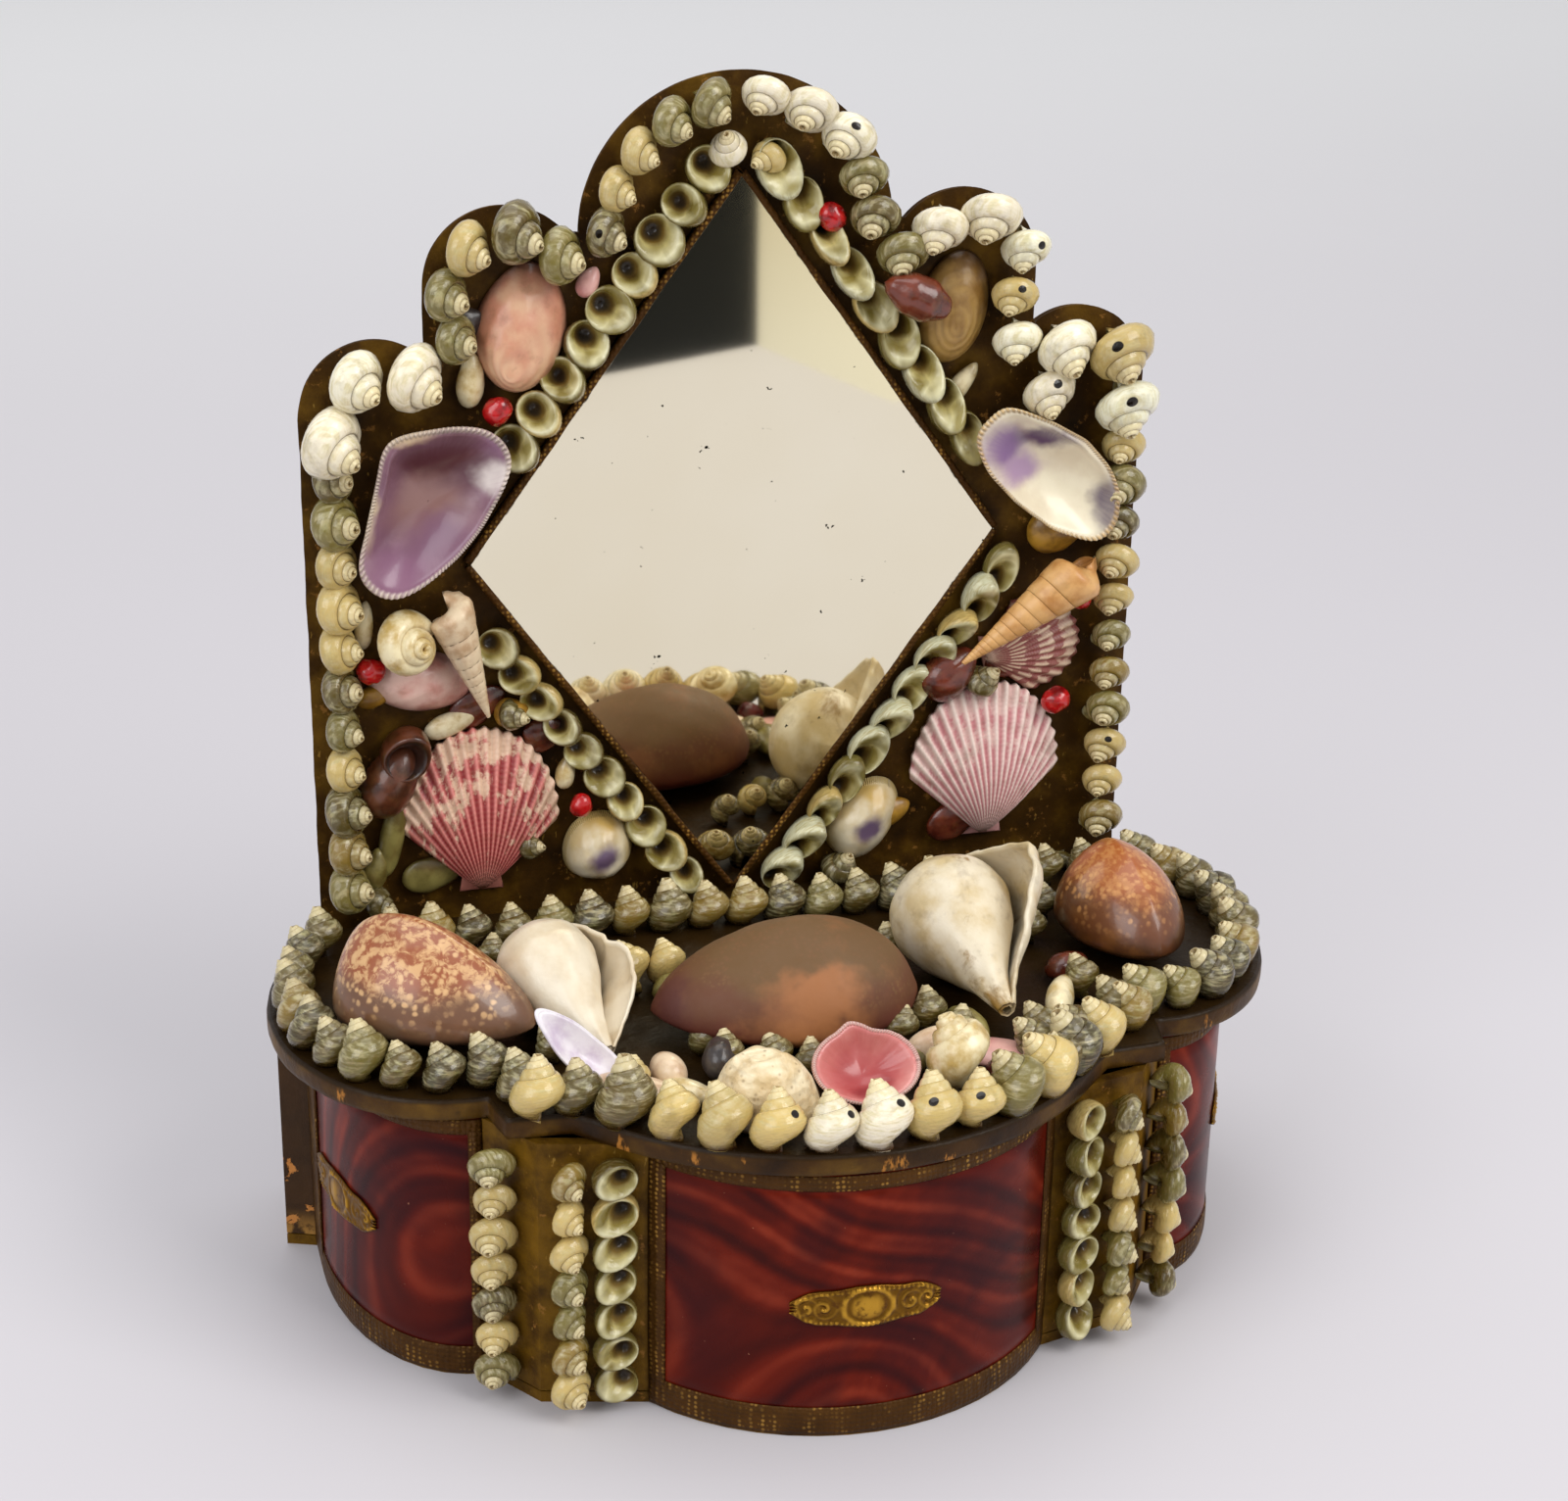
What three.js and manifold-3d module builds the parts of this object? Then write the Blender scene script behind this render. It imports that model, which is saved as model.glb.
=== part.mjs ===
// Shell box: a lobed card box with a lift-off lid and a tall stepped back board,
// all dressed with glued-on sea shells, and a diamond-shaped mirror on the board.
// Units are millimetres, +Z is up and the front faces -Y.
// Inside the assembly group, y = 0 is the front face of the back board and z = 0 the floor.
import * as THREE from 'three';
import { mergeVertices } from 'three/addons/utils/BufferGeometryUtils.js';
import Module from 'manifold-3d';

const wasm = await Module();
wasm.setup();

// Clearance between pieces that touch
const gap = 0.3;

// Card
const wall = 2.5;
const floorThickness = 2.5;
const lidThickness = 4.7;
const boardThickness = 3;
const boxHeight = 61.5;

// Box plan, right half: straight back, rear post, side lobe, pilaster, front lobe
const backHalf = 97;
const backReturn = 4;
const postTip = [109, -24];
const postRoot = [102.5, -26.5];
const sideLobe = { x: 74, y: -38, rx: 28.5, ry: 47, from: 0, to: -90 };
const pilasterTip = [65, -98];
const pilasterFront = [43, -103.5];
const frontLobe = { x: 0, y: -70.5, r: 54.4 };

// Lid plan, right half
const lidEar = [70.8, -95.8];
const lidEarFront = [57.5, -96.7];
const lidLobe = { x: 76, y: -41, rx: 36, ry: 45, from: 54, to: -95 };
const lidFront = { x: 0, y: -56.6, r: 69.2, from: -42 };

// Back board outline
const boardHalf = 95;
const lowLobe = { top: 201.5, r: 16 };
const midLobe = { half: 68, top: 229, r: 17, foot: 199.3 };
const arch = { top: 255.7, r: 34.5, foot: 222.5 };

// Mirror: a rhombus standing on its point
const mirror = { halfWidth: 60.7, halfHeight: 83.6, centreZ: 151.7, thickness: 2.7 };

// Embossed foil escutcheons
const foil = { length: 30, height: 9.5, thickness: 0.6, z: 31 };

// Small top shells that edge everything: each is as wide as its place in the row, so neighbours touch.
// Where a row turns sharply, a dab of glue joins them.
const shellSides = 6;
const touch = 0.54;
const glueDab = { thickness: 2.2, height: 0.6, sharpest: 24 };
const mirrorRowInset = 6.6;
const edgeRowInset = 5.6;

const archZ = arch.top - arch.r;
const boxDepth = -frontLobe.y + frontLobe.r;
const lidBase = boxHeight + gap;
const lidTop = lidBase + lidThickness;

const radians = THREE.MathUtils.degToRad;
const mirrored = ([x, y]) => [-x, y];

// Colours, roughness and metalness seen on the object
const looks = {
  card: { color: 0x2c1a0c, roughness: 0.8, metalness: 0 },
  marbled: { color: 0x7a140c, roughness: 0.2, metalness: 0 },
  lid: { color: 0x4a3319, roughness: 0.6, metalness: 0 },
  mirror: { color: 0xd9d2bd, roughness: 0.05, metalness: 1 },
  foil: { color: 0x9a6a1c, roughness: 0.35, metalness: 0.9 },
  pearl: { color: 0xa79d6c, roughness: 0.3, metalness: 0 },
  cream: { color: 0xe6d9b4, roughness: 0.4, metalness: 0 },
  violet: { color: 0x8f6b96, roughness: 0.3, metalness: 0 },
  rose: { color: 0xb8606a, roughness: 0.45, metalness: 0 },
  blush: { color: 0xd8a79b, roughness: 0.4, metalness: 0 },
  tan: { color: 0xc9a468, roughness: 0.5, metalness: 0 },
  brown: { color: 0x5e3424, roughness: 0.3, metalness: 0 },
};

const assembly = new THREE.Group();
assembly.position.y = boxDepth / 2;

function addPiece(name, geometry, look) {
  const material = new THREE.MeshStandardMaterial(looks[look]);
  const mesh = new THREE.Mesh(geometry, material);
  mesh.name = name;
  assembly.add(mesh);
}

// Solids: join closed meshes

function toSolid(geometry) {
  const bare = geometry.clone();
  for (const name of Object.keys(bare.attributes)) {
    if (name !== 'position') bare.deleteAttribute(name);
  }
  const merged = mergeVertices(bare, 1e-4);
  const index = merged.index.array;
  const faces = [];
  for (let i = 0; i < index.length; i += 3) {
    const [a, b, c] = [index[i], index[i + 1], index[i + 2]];
    if (a !== b && b !== c && c !== a) faces.push(a, b, c);
  }
  const positions = merged.attributes.position.array;
  if (signedVolume(positions, faces) < 0) faces.reverse();
  return new wasm.Manifold(new wasm.Mesh({
    numProp: 3,
    vertProperties: Float32Array.from(positions),
    triVerts: Uint32Array.from(faces),
  }));
}

function signedVolume(positions, faces) {
  const corner = (i) => new THREE.Vector3().fromArray(positions, 3 * i);
  let total = 0;
  for (let i = 0; i < faces.length; i += 3) {
    const [a, b, c] = [corner(faces[i]), corner(faces[i + 1]), corner(faces[i + 2])];
    total += a.dot(b.cross(c)) / 6;
  }
  return total;
}

function toGeometry(solid) {
  const mesh = solid.getMesh();
  const geometry = new THREE.BufferGeometry();
  geometry.setAttribute('position', new THREE.BufferAttribute(mesh.vertProperties, 3));
  geometry.setIndex(new THREE.BufferAttribute(mesh.triVerts, 1));
  geometry.computeVertexNormals();
  return geometry;
}

function fuse(geometries) {
  let whole = toSolid(geometries[0]);
  for (const geometry of geometries.slice(1)) whole = whole.add(toSolid(geometry));
  return toGeometry(whole);
}

// Plates: outlines drawn flat and given a thickness

function plateUp(outline, bottom, thickness) {
  const shape = new THREE.Shape(outline.map(([x, y]) => new THREE.Vector2(x, y)));
  const geometry = new THREE.ExtrudeGeometry(shape, { depth: thickness, bevelEnabled: false });
  geometry.translate(0, 0, bottom);
  return geometry;
}

// Outline in x and z, from the plane y = front back to y = front + thickness
function plateBack(outline, front, thickness) {
  const geometry = plateUp(outline, 0, thickness);
  geometry.rotateX(Math.PI / 2);
  geometry.translate(0, front + thickness, 0);
  return geometry;
}

function arcPoints(cx, cy, rx, ry, from, to, steps) {
  return Array.from({ length: steps + 1 }, (_, i) => {
    const angle = radians(from + ((to - from) * i) / steps);
    return [cx + rx * Math.cos(angle), cy + ry * Math.sin(angle)];
  });
}

// Both halves of an outline whose right half runs from the back to the front
function closedPlan(rightHalf) {
  return [...rightHalf, ...rightHalf.map(mirrored).reverse()];
}

// The line a given distance inside an open line, which keeps the solid side on its right
function insetLine(line, distance) {
  const normals = line.slice(1).map(([x, y], i) => {
    const [px, py] = line[i];
    const length = Math.hypot(x - px, y - py);
    return [(y - py) / length, -(x - px) / length];
  });
  return line.map(([x, y], i) => {
    const before = normals[Math.max(i - 1, 0)];
    const after = normals[Math.min(i, normals.length - 1)];
    const spread = 1 + before[0] * after[0] + before[1] * after[1];
    const reach = distance / spread;
    return [x + reach * (before[0] + after[0]), y + reach * (before[1] + after[1])];
  });
}

// The same line with its two ends drawn back
function shortened(line, by) {
  const draw = ([x, y], [tx, ty]) => {
    const length = Math.hypot(tx - x, ty - y);
    return [x + (by * (tx - x)) / length, y + (by * (ty - y)) / length];
  };
  const inner = line.slice(1, -1);
  return [draw(line[0], line[1]), ...inner, draw(line[line.length - 1], line[line.length - 2])];
}

// Box

const sideLobeLine = arcPoints(
  sideLobe.x, sideLobe.y, sideLobe.rx, sideLobe.ry, sideLobe.from, sideLobe.to, 10,
);
const frontStart = THREE.MathUtils.radToDeg(
  Math.atan2(pilasterFront[1] - frontLobe.y, pilasterFront[0] - frontLobe.x),
);
const frontLine = arcPoints(
  frontLobe.x, frontLobe.y, frontLobe.r, frontLobe.r, frontStart, -180 - frontStart, 16,
);
const backCorner = [backHalf, -gap];
const pilasterRoot = sideLobeLine[sideLobeLine.length - 1];

function boxPlan() {
  const half = [backCorner, postTip, postRoot, ...sideLobeLine, pilasterTip];
  const front = [pilasterFront, ...frontLine.slice(1, -1), mirrored(pilasterFront)];
  return [...half, ...front, ...half.map(mirrored).reverse()];
}

function wallPiece(line) {
  const outer = shortened(line, gap / 2);
  const outline = [...outer, ...insetLine(outer, wall).reverse()];
  const bottom = floorThickness + gap;
  return plateUp(outline, bottom, boxHeight - bottom);
}

function buildBox() {
  addPiece('box_floor', plateUp(boxPlan(), 0, floorThickness), 'card');
  const backEnd = [backHalf - backReturn, -gap];
  const back = [mirrored(backEnd), backEnd];
  addPiece('box_back_wall', wallPiece(back), 'card');
  const postLine = [backEnd, backCorner, postTip, postRoot];
  const panelLine = [postRoot, ...sideLobeLine];
  const pilasterLine = [pilasterRoot, pilasterTip, pilasterFront];
  for (const [side, place] of [['right', (line) => line], ['left', (line) => line.map(mirrored).reverse()]]) {
    addPiece(`rear_post_${side}`, wallPiece(place(postLine)), 'card');
    addPiece(`side_panel_${side}`, wallPiece(place(panelLine)), 'marbled');
    addPiece(`pilaster_${side}`, wallPiece(place(pilasterLine)), 'card');
  }
  addPiece('front_panel', wallPiece(frontLine), 'marbled');
}

// Lid

function lidPlan() {
  const lobe = arcPoints(lidLobe.x, lidLobe.y, lidLobe.rx, lidLobe.ry, lidLobe.from, lidLobe.to, 14);
  const front = arcPoints(lidFront.x, lidFront.y, lidFront.r, lidFront.r, lidFront.from, -90, 7);
  return closedPlan([[backHalf, -2 * gap], ...lobe, lidEar, lidEarFront, ...front.slice(0, -1)]);
}

// Back board and mirror

function boardPlan() {
  const low = arcPoints(boardHalf - lowLobe.r, lowLobe.top - lowLobe.r, lowLobe.r, lowLobe.r, 0, 130, 7);
  const mid = arcPoints(midLobe.half - midLobe.r, midLobe.top - midLobe.r, midLobe.r, midLobe.r, 0, 140, 8);
  const footAngle = THREE.MathUtils.radToDeg(Math.asin((arch.foot - archZ) / arch.r));
  const bow = arcPoints(0, archZ, arch.r, arch.r, footAngle, 90, 8);
  return closedPlan([[boardHalf, 0], ...low, [midLobe.half, midLobe.foot], ...mid, ...bow.slice(0, -1)]);
}

function mirrorPlan() {
  const { halfWidth, halfHeight, centreZ } = mirror;
  return [[halfWidth, centreZ], [0, centreZ + halfHeight], [-halfWidth, centreZ], [0, centreZ - halfHeight]];
}

// Foil: a lozenge with scrolled ends, bent round the panel it is glued to
function foilStrip(line) {
  const outer = insetLine(line, -(gap + foil.thickness));
  const inner = insetLine(line, -gap);
  const strip = plateUp([...outer, ...inner.reverse()], 0, foil.height);
  const middle = line[(line.length - 1) / 2];
  const reach = foil.length / 2;
  const position = strip.attributes.position;
  for (let i = 0; i < position.count; i += 1) {
    const along = Math.hypot(position.getX(i) - middle[0], position.getY(i) - middle[1]) / reach;
    const half = (foil.height / 2) * (0.3 + 0.7 * Math.abs(Math.cos((Math.PI / 2) * Math.min(along, 1))));
    position.setZ(i, foil.z + (position.getZ(i) > 0 ? half : -half));
  }
  return strip;
}

function buildFoils() {
  const spread = THREE.MathUtils.radToDeg(foil.length / 2 / frontLobe.r);
  const front = { x: frontLobe.x, y: frontLobe.y, r: frontLobe.r, middle: -84 };
  const frontArc = arcPoints(
    front.x, front.y, front.r, front.r, front.middle + spread, front.middle - spread, 8,
  );
  addPiece('foil_front', foilStrip(frontArc), 'foil');
  const sideSpread = THREE.MathUtils.radToDeg(foil.length / 2 / ((sideLobe.rx + sideLobe.ry) / 2));
  const middle = -32;
  const sideArc = arcPoints(
    sideLobe.x, sideLobe.y, sideLobe.rx, sideLobe.ry, middle + sideSpread, middle - sideSpread, 8,
  );
  addPiece('foil_right', foilStrip(sideArc), 'foil');
  addPiece('foil_left', foilStrip(sideArc.map(mirrored).reverse()), 'foil');
}

// Shell forms. Each lies on z = 0 with its long axis along +X, from tail to head.

function settled(geometry, lean) {
  geometry.rotateY(-radians(lean));
  geometry.computeBoundingBox();
  geometry.translate(0, 0, -geometry.boundingBox.min.z);
  return geometry;
}

// Turned form about +X, from a profile of [distance along, radius] pairs
function turned(profile, sides) {
  const points = profile.map(([along, radius]) => new THREE.Vector2(radius, along));
  const geometry = new THREE.LatheGeometry(points, sides, Math.PI / 2);
  geometry.rotateZ(-Math.PI / 2);
  return geometry;
}

// Small top shell: shallow base, widest whorl and pointed spire, its corners to its neighbours
function topShell(radius, lean) {
  const profile = [[-0.5, 0], [0, 1], [1.25, 0]];
  return settled(turned(profile.map(([along, r]) => [along * radius, r * radius]), shellSides), lean);
}

// Small top shell set mouth out, so that its hollow base shows
function cupShell(radius, lean) {
  const profile = [[-0.15, 0], [-0.55, 0.72], [0, 1], [0.95, 0]];
  return settled(turned(profile.map(([along, r]) => [along * radius, r * radius]), shellSides), lean);
}

// Cowrie or nut form: full back, flat underside, one end narrower
function cowrie(length, width, height, taper) {
  const geometry = new THREE.SphereGeometry(1, 12, 8);
  geometry.rotateX(Math.PI / 2);
  const position = geometry.attributes.position;
  for (let i = 0; i < position.count; i += 1) {
    const [x, y, z] = [position.getX(i), position.getY(i), position.getZ(i)];
    const narrow = 1 - taper * (0.5 + 0.5 * x) ** 2;
    const rise = z > 0 ? height * 0.72 : height * 0.28;
    position.setXYZ(i, (x * length) / 2, (y * narrow * width) / 2, z * rise * narrow);
  }
  return settled(geometry, 0);
}

// Long turret shell with stepped whorls, wide at its tail and pointed at its head
function auger(length, radius, whorls) {
  const profile = [[-length / 2, 0]];
  for (let i = 0; i < whorls; i += 1) {
    const from = i / whorls;
    const to = (i + 1) / whorls;
    profile.push([length * (from - 0.5 + 0.03), radius * (1 - 0.88 * from) * 0.86]);
    profile.push([length * (from * 0.4 + to * 0.6 - 0.5), radius * (1 - 0.88 * from)]);
  }
  profile.push([length / 2, 0]);
  return settled(turned(profile, 7), -3);
}

// Whelk: low spire at the tail, full body whorl, long canal at the head, flared lip beside it
function whelk(length, radius, lean, lipReach, lipRise) {
  const profile = [[-0.5, 0], [-0.44, 0.42], [-0.3, 0.88], [-0.14, 1], [0.06, 0.8], [0.26, 0.36], [0.5, 0]];
  const body = turned(profile.map(([along, r]) => [along * length, r * radius]), 9);
  const lipLine = [[-0.2, 0.5], [-0.28, 1.15], [-0.12, 1.5], [0.06, 1.28], [0.2, 1], [0.4, 0.12], [0.1, 0.2]];
  const outline = lipLine.map(([along, out]) => [along * length, out * radius * lipReach]);
  const lip = plateUp(outline, -0.8, 1.6);
  lip.rotateX(radians(lipRise));
  return settled(fuse([body, lip]), lean);
}

// Bead or olive: pointed or rounded egg
function bead(length, width) {
  const geometry = new THREE.SphereGeometry(0.5, 7, 5);
  geometry.rotateZ(-Math.PI / 2);
  geometry.scale(length, width, width);
  return settled(geometry, 0);
}

// Closed form over an outline: rings of [scale about the focus, height], from the middle out.
// The upper rings end at the rim; the under rings lie below them.
function valve(outline, focus, upper, under) {
  const count = outline.length;
  const ring = ([scale, height]) => outline.map(([x, y, ridge = 1]) => [
    focus[0] + scale * (x - focus[0]), focus[1] + scale * (y - focus[1]), height * ridge,
  ]);
  const rings = [...upper.map(ring), ...under.slice().reverse().map(ring)];
  const vertices = [[focus[0], focus[1], upper[0][1] * 0.8], ...rings.flat(), [focus[0], focus[1], 0]];
  const last = vertices.length - 1;
  const index = [];
  for (let i = 0; i < count; i += 1) {
    const j = (i + 1) % count;
    index.push(0, 1 + i, 1 + j);
    for (let k = 0; k + 1 < rings.length; k += 1) {
      const [a, b] = [1 + k * count, 1 + (k + 1) * count];
      index.push(a + i, b + i, b + j, a + i, b + j, a + j);
    }
    const end = 1 + (rings.length - 1) * count;
    index.push(end + i, last, end + j);
  }
  const geometry = new THREE.BufferGeometry();
  geometry.setAttribute('position', new THREE.Float32BufferAttribute(vertices.flat(), 3));
  geometry.setIndex(index);
  return geometry;
}

function ovalOutline(length, width, steps, shape = () => 1) {
  return Array.from({ length: steps }, (_, i) => {
    const angle = (2 * Math.PI * i) / steps;
    const grow = shape(angle);
    return [(length / 2) * Math.cos(angle) * grow, (width / 2) * Math.sin(angle) * grow];
  });
}

// Ribbed scallop: its hinge is at the tail, its fan opens towards the head
function scallop(length, width, height, ribs) {
  const hinge = [-length / 2, 0];
  const fan = Array.from({ length: 2 * ribs + 1 }, (_, i) => {
    const swing = -1 + i / ribs;
    const angle = radians(56) * swing;
    const reach = length * (1 - 0.26 * Math.abs(swing) ** 2.2) * (i % 2 ? 1 : 0.955);
    const widen = width / (2 * length * Math.sin(radians(56)) * 0.82);
    return [hinge[0] + reach * Math.cos(angle), reach * Math.sin(angle) * widen, i % 2 ? 1 : 0.86];
  });
  const outline = [...fan, [hinge[0] + 1, width * 0.09], [hinge[0] + 1, -width * 0.09]];
  const back = [[0.4, height], [0.78, height * 0.82], [1, 1.3]];
  return valve(outline, [hinge[0] + 0.12 * length, 0], back, [[0.97, 0]]);
}

// Open valve lying on its back: a bowl with a raised rim
function bowlValve(outline, depth) {
  const cup = [[0.35, depth * 0.3], [0.75, depth * 0.55], [0.97, depth * 0.97], [1, depth]];
  return valve(outline, [0, 0], cup, [[0.55, 0], [0.9, depth * 0.5]]);
}

// Wedge clam outline: blunt beak at one side, long curved margin at the other
function wedgeOutline(length, width, beak) {
  return ovalOutline(length, width, 16, (angle) => 1 + 0.16 * Math.exp(-(((angle - beak) / 0.35) ** 2)));
}

function limpet(length, width, height) {
  const outline = ovalOutline(length, width, 12);
  return valve(outline, [-0.12 * length, 0], [[0.3, height], [0.75, height * 0.62], [1, 0.9]], [[0.96, 0]]);
}

// Placing shells on a surface: across, up and out make its right-handed frame

const boardFace = { out: [0, -1, 0], up: [0, 0, 1], across: [1, 0, 0], base: (u, v) => [u, -gap, v] };
const lidFace = { out: [0, 0, 1], up: [0, 1, 0], across: [1, 0, 0], base: (u, v) => [u, v, lidTop + gap] };

function set(geometry, face, u, v, heading = 0, lift = 0) {
  const frame = new THREE.Matrix4().makeBasis(
    new THREE.Vector3(...face.across), new THREE.Vector3(...face.up), new THREE.Vector3(...face.out),
  );
  const out = new THREE.Vector3(...face.out);
  frame.setPosition(new THREE.Vector3(...face.base(u, v)).addScaledVector(out, lift));
  const copy = geometry.clone();
  copy.rotateZ(radians(heading));
  copy.applyMatrix4(frame);
  return copy;
}

// Rows of small shells

// Points at even steps along an open line
function spaced(line, count) {
  const path = new THREE.CurvePath();
  line.slice(1).forEach((point, i) => {
    path.add(new THREE.LineCurve(new THREE.Vector2(...line[i]), new THREE.Vector2(...point)));
  });
  return Array.from({ length: count }, (_, i) => path.getPointAt(i / (count - 1)).toArray());
}

function arcOf(cx, cy, radius, from, to, count) {
  return arcPoints(cx, cy, radius, radius, from, to, count - 1);
}

// A dab of glue between two neighbours, inside both at its ends
function dab(face, [u, v], [nextU, nextV], radius) {
  const length = Math.hypot(nextU - u, nextV - v);
  const geometry = new THREE.BoxGeometry(length, glueDab.thickness, glueDab.thickness);
  const heading = THREE.MathUtils.radToDeg(Math.atan2(nextV - v, nextU - u));
  return set(geometry, face, (u + nextU) / 2, (v + nextV) / 2, heading, glueDab.height * radius);
}

// A row of small shells: each spire points to one side of the line it stands in
function row(face, places, side, lean, make = topShell) {
  const step = (i) => {
    const [from, to] = [places[Math.max(i, 0)], places[Math.min(i + 1, places.length - 1)]];
    return new THREE.Vector2(to[0] - from[0], to[1] - from[1]);
  };
  const forms = [];
  places.forEach(([u, v], i) => {
    const [before, after] = [step(i - 1), step(i)];
    const radius = touch * Math.max(before.length(), after.length());
    const along = before.clone().add(after).angle();
    forms.push(set(make(radius, lean), face, u, v, THREE.MathUtils.radToDeg(along) + side * 90));
    const turn = before.length() && after.length() ? before.angleTo(after) : 0;
    if (turn > radians(glueDab.sharpest)) {
      forms.push(dab(face, places[i - 1], places[i], radius), dab(face, places[i], places[i + 1], radius));
    }
  });
  return forms;
}

const lowCentre = [boardHalf - lowLobe.r, lowLobe.top - lowLobe.r];
const midCentre = [midLobe.half - midLobe.r, midLobe.top - midLobe.r];
const columnX = boardHalf - edgeRowInset;
const columnFoot = lidTop + 12.3;

function boardEdgeRows() {
  const column = (side, top) => spaced([[side * columnX, columnFoot], [side * columnX, top]], 11);
  const lowLeft = [
    ...arcOf(-lowCentre[0], lowCentre[1], 10.6, 194, 116, 2),
    [-lowCentre[0] + 7.3, lowCentre[1] + 9.4],
  ];
  const midLeft = [
    [-midLobe.half + 5.6, midLobe.foot + 3.6],
    ...arcOf(-midCentre[0], midCentre[1], 11.8, 178, 31, 4),
  ];
  const notchRight = [arch.r + 0.6, arch.foot - 5.2];
  const bow = arcOf(0, archZ, arch.r - edgeRowInset, 178, 104.6, 5);
  const crown = arcOf(0, archZ, arch.r - edgeRowInset + 0.6, 82.5, 44.5, 3);
  const shoulder = arcOf(0, archZ, arch.r - edgeRowInset - 1.3, 26, 5, 2);
  const midRight = arcOf(midCentre[0], midCentre[1], 12, 128, 22, 3);
  const midFoot = spaced([
    [midLobe.half - 6.8, midLobe.top - 22.4], [midLobe.half - 5.8, midLobe.top - 32.6],
  ], 2);
  const lowRight = [
    [lowCentre[0] - 8.8, lowCentre[1] - 1.1], ...arcOf(lowCentre[0], lowCentre[1], 10.6, 120, -28, 3),
  ];
  const upperRight = [...crown, ...shoulder, notchRight, ...midRight, ...midFoot];
  return {
    edge_row_left: row(boardFace, [...column(-1, 174), ...lowLeft], -1, 40),
    edge_row_upper_left: row(boardFace, [...midLeft, ...bow], -1, 40),
    edge_row_upper_right: row(boardFace, upperRight, -1, 40),
    edge_row_right: row(boardFace, [...lowRight, ...column(1, 170.4).reverse()], -1, 40),
  };
}

// Four rows that frame the mirror, mouths out. Shares run from its point (0) to its side corner (1).
function mirrorRows() {
  const { halfWidth, halfHeight, centreZ } = mirror;
  const edge = Math.hypot(halfWidth, halfHeight);
  const aside = (halfHeight / edge) * mirrorRowInset;
  const away = (halfWidth / edge) * mirrorRowInset;
  const places = (side, upper, from, to, count) => spaced([from, to].map((share) => [
    side * (halfWidth * share + aside), centreZ + upper * (halfHeight * (1 - share) + away),
  ]), count);
  return {
    mirror_row_upper_left: row(boardFace, places(-1, 1, 0.036, 0.735, 9), 1, -62, cupShell),
    mirror_row_upper_right: row(boardFace, places(1, 1, 0.04, 0.78, 9), -1, -62, cupShell),
    mirror_row_lower_left: row(boardFace, places(-1, -1, 0.1, 0.81, 10), -1, -62, cupShell),
    mirror_row_lower_right: row(boardFace, places(1, -1, 0.1, 0.94, 11), 1, -62, cupShell),
  };
}

// Rows round the lid's rim, spires up and in, and one row across its back
function lidRows() {
  const lobeInset = 5.6;
  const corner = [lidEar[0] - 4.6, lidEar[1] + 8.6];
  const cornerFront = [lidEarFront[0] - 1.4, lidEarFront[1] + 1];
  const lobe = arcPoints(lidLobe.x, lidLobe.y, lidLobe.rx - lobeInset, lidLobe.ry - lobeInset, 46, -98, 24);
  const lobeRow = spaced([...lobe, corner], 12);
  const front = arcPoints(lidFront.x, lidFront.y, lidFront.r - 3.6, lidFront.r - 3.6, -46, -134, 24);
  const frontRow = spaced([cornerFront, ...front, mirrored(cornerFront)], 13);
  return {
    lid_row_left: row(lidFace, lobeRow.map(mirrored), 1, 62),
    lid_row_front: row(lidFace, frontRow, -1, 62),
    lid_row_right: row(lidFace, lobeRow, -1, 62),
    lid_row_back: row(lidFace, spaced([[-82, -17], [44, -19.5]], 15), 1, 72),
  };
}

// Columns of small shells on the two faces of each corner pilaster, down one and up the next
function pilasterRows() {
  const top = boxHeight - 6;
  const bottom = 6.2;
  const faceOf = (from, to) => {
    const length = Math.hypot(to[0] - from[0], to[1] - from[1]);
    const across = [(to[0] - from[0]) / length, (to[1] - from[1]) / length];
    const out = [across[1], -across[0]];
    const base = (u, v) => [
      from[0] + across[0] * u + out[0] * gap, from[1] + across[1] * u + out[1] * gap, v,
    ];
    return { length, across: [across[0], across[1], 0], up: [0, 0, 1], out: [out[0], out[1], 0], base };
  };
  const column = (face, share) => spaced([[face.length * share, top], [face.length * share, bottom]], 7);
  const single = (face, side) => row(face, column(face, 0.5), side, 48);
  const double = (face) => row(face, [...column(face, 0.29), ...column(face, 0.69).reverse()], 1, 48);
  return {
    pilaster_row_left_side: single(faceOf(mirrored(pilasterRoot), mirrored(pilasterTip)), -1),
    pilaster_row_left_front: double(faceOf(mirrored(pilasterTip), mirrored(pilasterFront))),
    pilaster_row_right_front: double(faceOf(pilasterFront, pilasterTip)),
    pilaster_row_right_side: single(faceOf(pilasterTip, pilasterRoot), 1),
  };
}

// Larger shells: name, form, place on the surface, heading, lift above it and colour

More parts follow.
